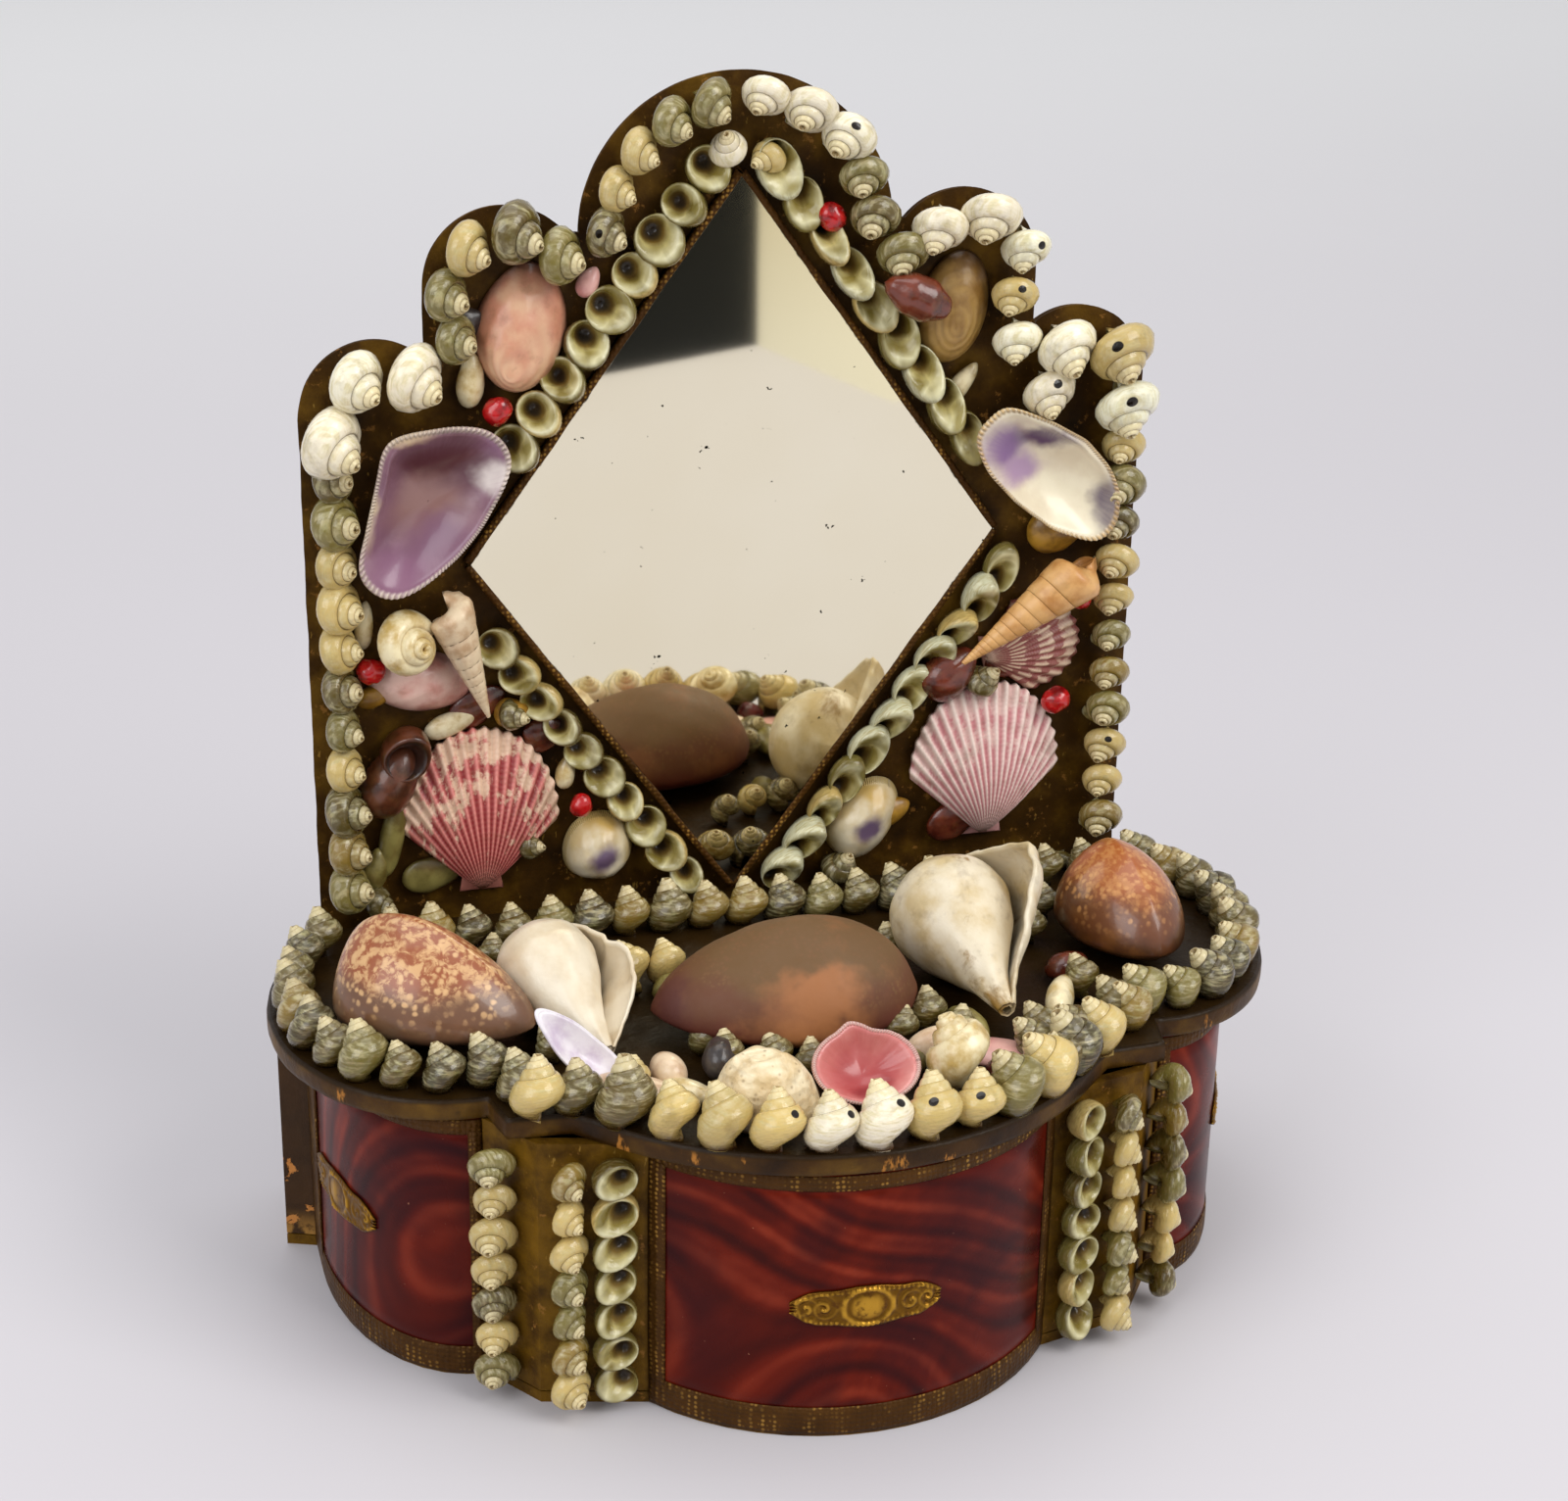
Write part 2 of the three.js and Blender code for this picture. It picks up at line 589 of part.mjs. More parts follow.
const boardShells = [
  ['clam_left', bowlValve(wedgeOutline(43, 25, 1.9), 9), [-68.5, 167], 50, 2, 'violet'],
  ['clam_right', bowlValve(wedgeOutline(42, 21, 1.5), 8), [70.2, 166.5], -41, 4.2, 'violet'],
  ['auger_left', auger(31, 5.2, 6), [-62, 132.3], -72, 2.6, 'cream'],
  ['auger_right', auger(39, 5.8, 7), [67, 134], 217, 5.5, 'tan'],
  ['globe_snail', bead(14, 13.5), [-75, 137], 20, 0, 'cream'],
  ['pink_shell', limpet(19, 12.5, 5.5), [-72, 125], -12, 0, 'blush'],
  ['brown_whelk', bead(19, 11.5), [-78.5, 107.5], 62, 0, 'brown'],
  ['scallop_left', scallop(40, 39, 9, 10), [-59, 93], 90, 0, 'rose'],
  ['scallop_right', scallop(39, 39.5, 9, 10), [61, 94.5], 90, 0, 'blush'],
  ['scallop_small', scallop(24, 25, 5, 8), [71, 122.5], 12, 0, 'rose'],
  ['slipper_shell', limpet(24.5, 17.6, 8.5), [-48, 202.4], 75, 0, 'blush'],
  ['limpet_right', limpet(24.5, 15.5, 6), [49, 202.8], 78, 0, 'tan'],
  ['olive_seed', bead(17, 10.5), [37.5, 208.5], 155, 6.4, 'brown'],
  ['oyster_left', limpet(17, 15.5, 9), [-31.8, 80.7], 60, 0, 'cream'],
  ['oyster_right', limpet(22, 15, 8), [31.3, 81.5], 55, 0, 'cream'],
];

const lidShells = [
  ['cowrie_left', cowrie(44, 30, 23, 0.3), [-78.8, -59.2], -36, 0, 'tan'],
  ['whelk_left', whelk(41, 11.8, -14, 0.8, 8), [-50.6, -62.5], -75, 0, 'cream'],
  ['shell_sliver', limpet(16, 8.5, 3), [-54.2, -84.6], -40, 0, 'cream'],
  ['nut_cowrie', cowrie(56, 38, 25, 0.2), [-6.5, -72], 176, 0, 'brown'],
  ['whelk_right', whelk(48, 15, -14, 0.8, 27), [38.6, -62.7], -87, 0, 'cream'],
  ['cowrie_right', cowrie(36, 29.5, 21, 0.3), [78, -51.5], -85, 0, 'brown'],
  ['beige_cowrie', bead(10.5, 7.5), [-36, -89], 100, 0, 'blush'],
  ['beige_olive', bead(17, 8.5), [21.5, -92.5], 20, 0, 'blush'],
  ['rough_cockle', limpet(22, 15, 9), [-19.5, -105.5], 0, 0, 'cream'],
  ['pink_bowl', bowlValve(ovalOutline(23, 17, 14), 7), [1.5, -106], 0, 0, 'blush'],
  ['ball_snail', bead(14, 12.5), [20.5, -105.5], 0, 0, 'cream'],
];

function buildShells() {
  const singles = [
    ...boardShells.map((entry) => [boardFace, ...entry]),
    ...lidShells.map((entry) => [lidFace, ...entry]),
  ].map(([face, name, form, [u, v], heading, lift, look]) => (
    { name, look, form: set(form, face, u, v, heading, lift) }
  ));
  for (const { name, look, form } of singles) addPiece(name, fuse([form]), look);
  const rows = { ...boardEdgeRows(), ...mirrorRows(), ...lidRows(), ...pilasterRows() };
  for (const [name, forms] of Object.entries(rows)) addPiece(name, fuse(forms), 'pearl');
}

buildBox();
addPiece('lid', plateUp(lidPlan(), lidBase, lidThickness), 'lid');
addPiece('back_board', plateBack(boardPlan(), 0, boardThickness), 'card');
addPiece('mirror_glass', plateBack(mirrorPlan(), -gap - mirror.thickness, mirror.thickness), 'mirror');
buildFoils();
buildShells();

const shellBox = new THREE.Group();
shellBox.add(assembly);

export default shellBox;
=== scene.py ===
import math
import bpy
import numpy as np
from mathutils import Matrix, Vector


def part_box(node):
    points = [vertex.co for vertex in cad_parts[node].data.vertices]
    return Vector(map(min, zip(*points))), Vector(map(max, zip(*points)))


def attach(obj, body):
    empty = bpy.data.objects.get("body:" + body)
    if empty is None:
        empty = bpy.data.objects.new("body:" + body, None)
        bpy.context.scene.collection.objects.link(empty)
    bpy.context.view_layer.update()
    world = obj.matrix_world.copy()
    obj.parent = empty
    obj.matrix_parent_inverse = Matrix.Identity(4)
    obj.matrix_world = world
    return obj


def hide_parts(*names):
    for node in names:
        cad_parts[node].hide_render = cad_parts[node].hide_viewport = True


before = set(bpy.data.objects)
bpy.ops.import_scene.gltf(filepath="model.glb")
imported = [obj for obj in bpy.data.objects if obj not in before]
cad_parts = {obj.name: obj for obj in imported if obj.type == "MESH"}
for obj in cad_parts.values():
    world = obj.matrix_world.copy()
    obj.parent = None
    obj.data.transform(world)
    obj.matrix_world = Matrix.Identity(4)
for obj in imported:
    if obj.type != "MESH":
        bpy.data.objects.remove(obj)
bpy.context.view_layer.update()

MM = 0.001
TURN = 2 * math.pi
dice = np.random.default_rng(7)

# Moves the own coordinates of each small shell, so that no two show the same stains
SEED_SHIFT = np.array([37.0, 11.0, 53.0])

# Where the card stands, in millimetres: x across, y back, z up from the table
BOARD_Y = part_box("back_board")[0][1] / MM
LID_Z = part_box("lid")[1][2] / MM
MIRROR_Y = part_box("mirror_glass")[0][1] / MM
WALL_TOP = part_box("front_panel")[1][2] / MM
FLOOR_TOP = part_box("front_panel")[0][2] / MM
BOARD_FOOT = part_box("back_board")[0][2] / MM
GAP = 0.3
WALL = 2.5


def colour(red, green, blue):
    """Linear colour of an sRGB colour given from 0 to 255."""
    def linear(c):
        c /= 255
        return c / 12.92 if c <= 0.04045 else ((c + 0.055) / 1.055) ** 2.4
    return linear(red), linear(green), linear(blue), 1.0


# Meshes: lists of points and faces that keep, for each point, its place in its own shell

class Heap:
    """Points, faces and marks of one piece, gathered from many small forms."""

    def __init__(self):
        self.points, self.faces, self.own, self.ray, self.tint = [], [], [], [], []
        self.count = 0

    def add(self, form, matrix, tint=(1, 1, 1), seed=0.0, drilled=False):
        points, faces, ray = form
        world = points @ matrix[:3, :3].T + matrix[:3, 3]
        self.points.append(world)
        self.faces.append(faces + self.count)
        self.own.append(points + seed * SEED_SHIFT)
        self.ray.append(ray)
        self.tint.append(np.tile(np.array([*tint, drilled * (0.1 + seed / 10)]), (len(points), 1)))
        self.count += len(points)

    def build(self, name, material):
        mesh = bpy.data.meshes.new(name)
        points = np.concatenate(self.points) * MM
        faces = np.concatenate(self.faces)
        mesh.vertices.add(len(points))
        mesh.vertices.foreach_set("co", points.ravel())
        mesh.loops.add(faces.size)
        mesh.loops.foreach_set("vertex_index", faces.ravel())
        mesh.polygons.add(len(faces))
        mesh.polygons.foreach_set("loop_start", np.arange(len(faces)) * 4)
        mesh.update(calc_edges=True)
        for label, rows in (("own", self.own), ("ray", self.ray)):
            mark = mesh.attributes.new(label, "FLOAT_VECTOR", "POINT")
            mark.data.foreach_set("vector", np.concatenate(rows).ravel())
        tint = mesh.attributes.new("tint", "FLOAT_COLOR", "POINT")
        tint.data.foreach_set("color", np.concatenate(self.tint).ravel())
        mesh.polygons.foreach_set("use_smooth", [True] * len(faces))
        mesh.materials.append(material)
        obj = bpy.data.objects.new(name, mesh)
        bpy.context.collection.objects.link(obj)
        return obj


def grid_faces(rows, columns, close_rows=False, close_columns=False, flip=False):
    """Quads of a grid whose points run row by row."""
    i = np.arange(rows if close_rows else rows - 1)
    j = np.arange(columns if close_columns else columns - 1)
    i, j = [a.ravel() for a in np.meshgrid(i, j, indexing="ij")]
    i2, j2 = (i + 1) % rows, (j + 1) % columns
    quads = np.stack([i * columns + j, i2 * columns + j, i2 * columns + j2, i * columns + j2], 1)
    return quads[:, ::-1] if flip else quads


def centre_fan(start, count, flip):
    """Quads that close a small ring of an even count of points."""
    half = count // 2
    i = np.arange(half - 1)
    quads = np.stack([start + i, start + i + 1, start + count - 2 - i, start + count - 1 - i], 1)
    return quads[:, ::-1] if flip else quads


def shares(points, along=0.0, around=0.0, inside=0.0):
    """For each point of a grid: how far along or out, how far round, and 1 inside or 0 outside."""
    ray = np.zeros_like(points)
    for k, share in enumerate((along, around, inside)):
        ray[..., k] = share
    return ray.reshape(-1, 3)


def closed_tube(points, along=0.0, around=0.0, inside=0.0):
    """A form from rings of points, closed at both ends."""
    rows, columns = points.shape[:2]
    caps = [centre_fan(0, columns, False), centre_fan((rows - 1) * columns, columns, True)]
    faces = np.concatenate([grid_faces(rows, columns, close_columns=True), *caps])
    return points.reshape(-1, 3), faces, shares(points, along, around, inside)


def two_sheets(top, low, along=0.0, around=0.0, inside=0.0):
    """An upper and a lower sheet of points on one grid, joined round their rim."""
    rows, columns = top.shape[:2]
    n = rows * columns
    rim = np.concatenate([np.arange(columns) + (rows - 1) * columns, (np.arange(rows)[::-1] + 1) * columns - 1,
                          np.arange(columns)[::-1], np.arange(rows) * columns])
    faces = [grid_faces(rows, columns), grid_faces(rows, columns, flip=True) + n,
             np.stack([rim[:-1] + n, rim[1:] + n, rim[1:], rim[:-1]], 1)]
    points = np.concatenate([top.reshape(-1, 3), low.reshape(-1, 3)])
    ray = np.concatenate([shares(top, along, around), shares(low, along, around, inside)])
    return points, np.concatenate(faces), ray


def joined(*forms):
    """Several forms as one, in the same frame."""
    points, faces, ray, base = [], [], [], 0
    for p, f, r in forms:
        points.append(p)
        faces.append(f + base)
        ray.append(r)
        base += len(p)
    return np.concatenate(points), np.concatenate(faces), np.concatenate(ray)


def moved(form, turn=(0, 0, 0), shift=(0, 0, 0), scale=(1, 1, 1)):
    """A form scaled, then turned about X, Y and Z in degrees, then shifted."""
    rx, ry, rz = [Matrix.Rotation(math.radians(a), 3, axis) for a, axis in zip(turn, "XYZ")]
    m = np.array(rz @ ry @ rx)
    return (form[0] * np.array(scale)) @ m.T + np.array(shift), form[1], form[2]


def settled(form, lean=0.0, roll=0.0, sink=0.0):
    """A form rolled about its axis, with its nose raised by lean degrees, standing on z = 0."""
    points, faces, ray = moved(moved(form, (roll, 0, 0)), (0, -lean, 0))
    low, high = points.min(0), points.max(0)
    middle = (low + high) / 2
    return points - np.array([middle[0], middle[1], low[2] + sink]), faces, ray


# Faces that carry shells

def face(origin, across, up, out):
    """The matrix of a flat face from its origin and three directions."""
    m = np.eye(4)
    m[:3, 0], m[:3, 1], m[:3, 2], m[:3, 3] = across, up, out, origin
    return m


BOARD = face((0, BOARD_Y - GAP, 0), (1, 0, 0), (0, 0, 1), (0, -1, 0))
LID = face((0, BOARD_Y, LID_Z + GAP), (1, 0, 0), (0, 1, 0), (0, 0, 1))


def on(surface, u, v, heading=0.0, lift=0.0):
    """The matrix of a place on a face: across, up, heading in degrees and lift off the face."""
    a = math.radians(heading)
    m = np.eye(4)
    m[:2, :2] = [[math.cos(a), -math.sin(a)], [math.sin(a), math.cos(a)]]
    m[:3, 3] = (u, v, lift)
    return surface @ m


# Shell forms, in millimetres. Each lies on z = 0 with its nose along +X.
# A coil leans its mouth towards its base by this share of a turn
SLANT = 0.05


def whorl_section(growth, bulge, rim_at=0.66):
    """Outline of a whorl in shares of the shell's width: distances from the apex and from the axis. It starts at
    the upper seam, where it meets the whorl before, and ends there again past the base and the inner side."""
    rim = np.array([rim_at, 0.497])
    seam = rim / growth
    step = rim - seam
    share = np.array([0, 0.1, 0.32, 0.62, 1.0])
    outward = np.array([-step[1], step[0]]) / np.hypot(*step)
    wall = seam + share[:, None] * step + bulge * np.sin(math.pi * share ** 0.62)[:, None] * outward
    steps = [(0.26, 0.485), (0.53, 0.43), (0.75, 0.33), (0.88, 0.2), (0.88, 0.09), (0.59, 0.03), (0.06, 0.035)]
    base = [(rim_at + (1 - rim_at) * down, out) for down, out in steps]
    return np.concatenate([wall, base, [seam * (1.28, 0.33), seam * (1.07, 0.67)]])


def coil(height, growth, turns, bulge, steps=20, ribs=0, rib=0.0, rim_at=0.66):
    """A whorled shell of unit width: apex at +X, mouth at the end of the last turn, and ribs across each turn."""
    section = whorl_section(growth, bulge, rim_at)
    count = int(round(turns * steps))
    t = np.concatenate([np.linspace(0, turns, count + 1), turns - np.array([0.02, 0.1, 0.24, 0.42])])
    inside = np.concatenate([np.zeros(count + 1), [0.35, 0.7, 1.0, 1.0]])
    shrink = np.concatenate([np.ones(count + 1), [0.9, 0.84, 0.7, 0.5]])
    middle = section.mean(0)
    ring = middle + (section - middle) * shrink[:, None, None]
    ring = ring * (growth ** (t - turns))[:, None, None]
    ring[:, 1:8, 1] *= (1 + rib * np.sin(t * TURN * ribs))[:, None]
    late = np.clip(1 - (turns - t) / 0.5, 0, 1)
    angle = -TURN * (t[:, None] - SLANT * late[:, None] * (section[:, 0] - section[0, 0]))
    points = np.stack([(1 - ring[..., 0]) * height, ring[..., 1] * np.cos(angle), ring[..., 1] * np.sin(angle)], 2)
    around = np.arange(len(section)) / len(section)
    return closed_tube(points, (t - turns)[:, None], around, inside[:, None])


def cup(deep=0.5, shift=0.1, squash=0.9, tilt=0.12):
    """The open side of a top shell of unit width, mouth up: a funnel set off to one side inside a thin lip."""
    around = 24
    rings = [(0.26, 0.0, 0.0, 0), (0.43, 0.14, 0.0, 0), (0.5, 0.42, 0.0, 0), (0.5, 0.72, 0.0, 0),
             (0.475, 0.95, 0.0, 0.04), (0.44, 1.0, -0.1, 0.08), (0.385, 0.95, -0.45, 0.14),
             (0.33, 0.84, -0.85, 0.24), (0.27, 0.66, -1.3, 0.4), (0.21, 0.46, -1.6, 0.6), (0.14, 0.3, -1.8, 0.85), (0.05, 0.24, -1.8, 1.0)]
    a = np.arange(around) * TURN / around
    reach, level, off, inside = [np.array(column)[:, None] for column in zip(*rings)]
    x = reach * (1 + 0.07 * np.cos(a)) * np.cos(a) + off * shift
    y = reach * np.sin(a) * squash
    z = level * deep * (1 + tilt * np.cos(a) + 0.05 * np.sin(2 * a + 1))
    points = np.stack([x, y, z], 2)
    return closed_tube(points, a / TURN, 0.3 + 0.3 * level, inside)


def scaled(form, length=None, width=None):
    """A form resized along its nose, and across it, to real measures."""
    points = form[0]
    span = points.max(0) - points.min(0)
    across = width / max(span[1], span[2])
    along = across if length is None else length / span[0]
    return points * np.array([along, across, across]), form[1], form[2]


def polar(outline, height, rings, around, focus, thickness):
    """A valve: outline(angle) is its edge, and height(rho, angle, x, y) its upper side, with an underside
    one thickness lower. Both sides meet in a rounded edge."""
    a = np.arange(around) * TURN / around
    edge = outline(a)
    rho = np.linspace(0.02, 1.0, rings)

    def sheet(level, drop, grow):
        x = focus[0] + level[:, None] * grow * (edge[:, 0] - focus[0])[None, :]
        y = focus[1] + level[:, None] * grow * (edge[:, 1] - focus[1])[None, :]
        z = height(level[:, None] + 0 * a[None, :], a[None, :] + 0 * level[:, None], x, y) - drop
        return np.stack([x, y, z], 2)

    top = sheet(rho, 0.0, 1.0)
    rim = sheet(np.array([1.0]), thickness / 2, 1 + 0.35 * thickness / np.abs(edge).max())
    under = sheet(rho[::-1], thickness, 1.0)
    points = np.concatenate([top, rim, under])
    levels = np.concatenate([rho, [1.0], rho[::-1]])
    side = np.concatenate([np.zeros(rings), [0.5], np.ones(rings)])
    return closed_tube(points, levels[:, None], a / TURN, side[:, None])


def oval(length, width, bumps=()):
    """Outline of an oval with bumps: each is (angle in degrees, spread in degrees, share)."""
    def outline(a):
        r = np.ones_like(a)
        for middle, spread, share in bumps:
            off = (a - math.radians(middle) + math.pi) % TURN - math.pi
            r = r + share * np.exp(-(off / math.radians(spread)) ** 2)
        return np.stack([np.cos(a) * length / 2 * r, np.sin(a) * width / 2 * r], 1)
    return outline


def ripple(x, y, scale, seed):
    """Smooth uneven surface between about -1 and 1."""
    a = seed * 1.7
    return (np.sin(x / scale + a) * np.cos(y / scale * 1.3 - a) + 0.6 * np.sin((x + y) / scale * 1.9 + 2 * a)
            + 0.4 * np.cos((x - 1.6 * y) / scale * 2.7 + 3 * a)) / 2


def dome(length, width, height, seed, bumps, peak=(-0.12, 0.0), rough=0.0, steep=2.2, thickness=1.0):
    """A domed valve or cap, outside up."""
    def lift(rho, a, x, y):
        z = height * (1 - rho ** steep) ** 0.75
        return z + thickness + rough * ripple(x, y, length / 9, seed) * (1 - 0.4 * rho)
    return polar(oval(length, width, bumps), lift, 20, 64, (peak[0] * length, peak[1] * width), thickness)


def dish(length, width, depth, seed, bumps, ridges=0, ridge=0.0, rough=0.0, deep=2.0, thickness=1.3):
    """An open valve lying on its back, inside up."""
    def lift(rho, a, x, y):
        z = depth * rho ** deep
        z = z - 0.12 * depth * np.exp(-((rho - 0.97) / 0.05) ** 2)
        z = z + ridge * np.cos(a * ridges) * np.clip(rho - 0.25, 0, 1)
        return z + thickness + rough * ripple(x, y, length / 7, seed)
    return polar(oval(length, width, bumps), lift, 24, 96, (0, 0), thickness)


def egg(length, width, height, taper=0.25, flat=0.28, seed=0, rough=0.0, rows=40, around=56, peak=1.0,
        blunt=0.82, hump=0.0):
    """Cowrie or nut form: full back, flatter underside, one end narrower. peak above 1 draws the back up to a
    ridge, a larger blunt draws the ends out to points, and hump moves the summit towards the tail."""
    t = np.linspace(0.015, math.pi - 0.015, rows)
    a = np.arange(around) * TURN / around
    x = -np.cos(t)[:, None] * length / 2 + 0 * a[None, :]
    ring = np.sin(t) ** blunt
    narrow = 1 - taper * (0.5 - 0.5 * np.cos(t)) ** 2
    across = np.sign(np.cos(a)) * np.abs(np.cos(a)) ** peak
    y = (ring * narrow)[:, None] * across[None, :] * width / 2
    lift = np.where(np.sin(a) > 0, 1 - flat, flat)[None, :]
    z = (ring * narrow * (1 + hump * np.cos(t)))[:, None] * np.sin(a)[None, :] * height * lift
    swell = 1 + rough * ripple(x, y + z, length / 7, seed)
    end = np.exp(-((t - math.pi) / 0.16) ** 2) + np.exp(-(t / 0.16) ** 2)
    x = x + np.sign(x) * (end * length * 0.015)[:, None]
    return closed_tube(np.stack([x, y * swell, z * swell], 2), (t / math.pi)[:, None], a / TURN)


def fan(length, width, height, ribs, seed, rings=34, per_rib=8, rib=0.9, ears=0.42, spread=58):
    """A ribbed scallop, outside up: its beak is at the tail and its fan opens along +X."""
    across = ribs * per_rib + 1
    swing = np.linspace(-1, 1, across)
    rho = np.linspace(0.03, 1, rings) ** 0.9
    a = np.radians(spread) * swing
    reach = length * (1 - 0.24 * np.abs(swing) ** 2.4)
    phase = (swing + 1) / 2 * ribs * TURN
    crest = 0.5 - 0.5 * np.cos(phase)
    widen = width / (2 * length * math.sin(math.radians(spread)) * 0.83)
    edge = rho[:, None] * (reach * (1 + 0.022 * (crest - 0.5)))[None, :]
    x = edge * np.cos(a)[None, :] - length / 2
    y = edge * np.sin(a)[None, :] * widen
    hump = height * (np.sin(math.pi * np.clip(rho, 0, 1) ** 0.62 * 0.93))[:, None]
    hump = hump * (1 - 0.72 * np.abs(swing) ** 2.6)[None, :]
    grow = rib * (crest ** 0.8)[None, :] * (rho ** 0.75)[:, None]
    z = hump + grow + 0.9 + 0.12 * np.sin(rho * 46 + seed)[:, None] * rho[:, None]
    top = np.stack([x, y, z], 2)
    low = top.copy()
    low[..., 2] = np.minimum(low[..., 2] - 0.9, low[..., 2] * 0.5)
    valve = two_sheets(top, low, rho[:, None], (swing + 1) / 2, 1)
    wing = slab([(-0.5, -ears / 2), (-0.5, ears / 2), (-0.34, ears / 2.6), (-0.3, 0), (-0.34, -ears / 2.6)],
                (length, width), 1.0, 1.6)
    return joined(valve, wing)


def slab(corners, size, low, high):
    """A thin plate over an outline whose corners are given as shares of a size."""
    corners = np.array(corners) * np.array(size)
    steps = 4
    line = []
    for i, corner in enumerate(corners):
        nxt = corners[(i + 1) % len(corners)]
        line += [corner + (nxt - corner) * k / steps for k in range(steps)]
    line = np.array(line)
    middle = line.mean(0)
    rings = [(0.5, high), (0.9, high), (1.0, (low + high) / 2), (0.9, low), (0.5, low)]
    points = np.array([[[*(middle + (p - middle) * k), z] for p in line] for k, z in rings])
    return closed_tube(points, 0.1)


def spindle(profile, length, radius, rows=46, around=40):
    """A turned form about +X from a smooth profile of (share of length, share of radius)."""
    keys = np.array(profile)
    t = np.linspace(0, 1, rows)
    x = np.interp(t, np.linspace(0, 1, len(keys)), keys[:, 0])
    r = np.interp(t, np.linspace(0, 1, len(keys)), keys[:, 1])
    for _ in range(2):
        x[1:-1] = (x[:-2] + 2 * x[1:-1] + x[2:]) / 4
        r[1:-1] = (r[:-2] + 2 * r[1:-1] + r[2:]) / 4
    a = np.arange(around) * TURN / around
    reach = np.maximum(r, 0.012)[:, None] * radius + 0 * a
    points = np.stack([(x * length)[:, None] + 0 * a, reach * np.cos(a), reach * np.sin(a)], 2)
    return closed_tube(points, t[:, None], a / TURN)


# Materials, built from nodes

class Finish:
    """A Principled material and short ways to add nodes to it."""

    def __init__(self, name, roughness=0.5, metallic=0.0, coat=0.0, specular=0.5):
        self.material = bpy.data.materials.new(name)
        self.material.use_nodes = True
        self.nodes = self.material.node_tree.nodes
        self.links = self.material.node_tree.links
        self.shader = self.nodes["Principled BSDF"]
        for socket, value in (("Roughness", roughness), ("Metallic", metallic), ("Coat Weight", coat),
                              ("Coat Roughness", 0.08), ("Specular IOR Level", specular)):
            self.shader.inputs[socket].default_value = value

    def node(self, kind, inputs=None, **settings):
        node = self.nodes.new("ShaderNode" + kind)
        for key, value in settings.items():
            setattr(node, key, value)
        for key, value in (inputs or {}).items():
            self.feed(node.inputs[key], value)
        return node

    def feed(self, socket, value):
        if isinstance(value, bpy.types.NodeSocket):
            self.links.new(value, socket)
        else:
            socket.default_value = value

    def mark(self, name):
        """An attribute of the mesh: own and ray are vectors, tint is a colour."""
        node = self.node("Attribute", attribute_name=name)
        return node.outputs["Color" if name == "tint" else "Vector"]

    def drilled(self):
        return self.node("Attribute", attribute_name="tint").outputs["Alpha"]

    def place(self):
        return self.node("TexCoord").outputs["Object"]

    def part(self, vector, axis):
        return self.node("SeparateXYZ", {0: vector}).outputs["XYZ".index(axis)]

    def stretched(self, vector, scale):
        return self.node("VectorMath", {0: vector, 1: scale}, operation="MULTIPLY").outputs[0]

    def sum(self, a, b):
        return self.node("VectorMath", {0: a, 1: b}, operation="ADD").outputs[0]

    def vector(self, x=0.0, y=0.0, z=0.0):
        return self.node("CombineXYZ", {0: x, 1: y, 2: z}).outputs[0]

    def noise(self, vector, scale, detail=4.0, roughness=0.55, distortion=0.0):
        return self.node("TexNoise", {"Vector": vector, "Scale": scale, "Detail": detail,
                                      "Roughness": roughness, "Distortion": distortion}).outputs["Fac"]

    def noise_vector(self, vector, scale, detail=3.0):
        return self.node("TexNoise", {"Vector": vector, "Scale": scale, "Detail": detail}).outputs["Color"]

    def cells(self, vector, scale, randomness=1.0):
        return self.node("TexVoronoi", {"Vector": vector, "Scale": scale,
                                        "Randomness": randomness}).outputs["Distance"]

    def math(self, kind, a, b=0.0, c=0.0):
        return self.node("Math", {0: a, 1: b, 2: c}, operation=kind).outputs[0]

    def times(self, a, b):
        return self.math("MULTIPLY", a, b)

    def times_plus(self, a, b, c):
        return self.math("MULTIPLY_ADD", a, b, c)

    def wave(self, value, cycles, offset=0.0):
        """Runs from 0 to 1 and back, so many times per unit of a value."""
        angle = self.times_plus(value, cycles * TURN, offset)
        return self.times_plus(self.math("SINE", angle), 0.5, 0.5)

    def fade(self, value, low, high):
        """0 below low and 1 above high (or the other way round)."""
        return self.node("MapRange", {0: value, 1: low, 2: high}, interpolation_type="SMOOTHSTEP").outputs[0]

    def ramp(self, value, stops):
        node = self.node("ValToRGB", {0: value})
        elements = node.color_ramp.elements
        while len(elements) < len(stops):
            elements.new(0.5)
        for element, (at, c) in zip(elements, stops):
            element.position = at
            element.color = c
        return node.outputs[0]

    def blend(self, share, a, b, kind="MIX"):
        node = self.node("Mix", {0: share}, data_type="RGBA", blend_type=kind)
        self.feed(node.inputs[6], a)
        self.feed(node.inputs[7], b)
        return node.outputs[2]

    def wash(self, base, tone, share, amount, kind="MIX"):
        """A tone laid over a base where a share says so, at most by an amount."""
        return self.blend(self.times(share, amount), base, tone, kind)

    def paint(self, value):
        self.feed(self.shader.inputs["Base Color"], value)

    def rough(self, value):
        self.feed(self.shader.inputs["Roughness"], value)

    def relief(self, height, depth, strength=1.0):
        """Bump of a given depth in millimetres."""
        bump = self.node("Bump", {"Height": height, "Strength": strength, "Distance": depth * MM})
        previous = self.shader.inputs["Normal"].links
        if previous:
            self.feed(bump.inputs["Normal"], previous[0].from_socket)
        self.feed(self.shader.inputs["Normal"], bump.outputs[0])


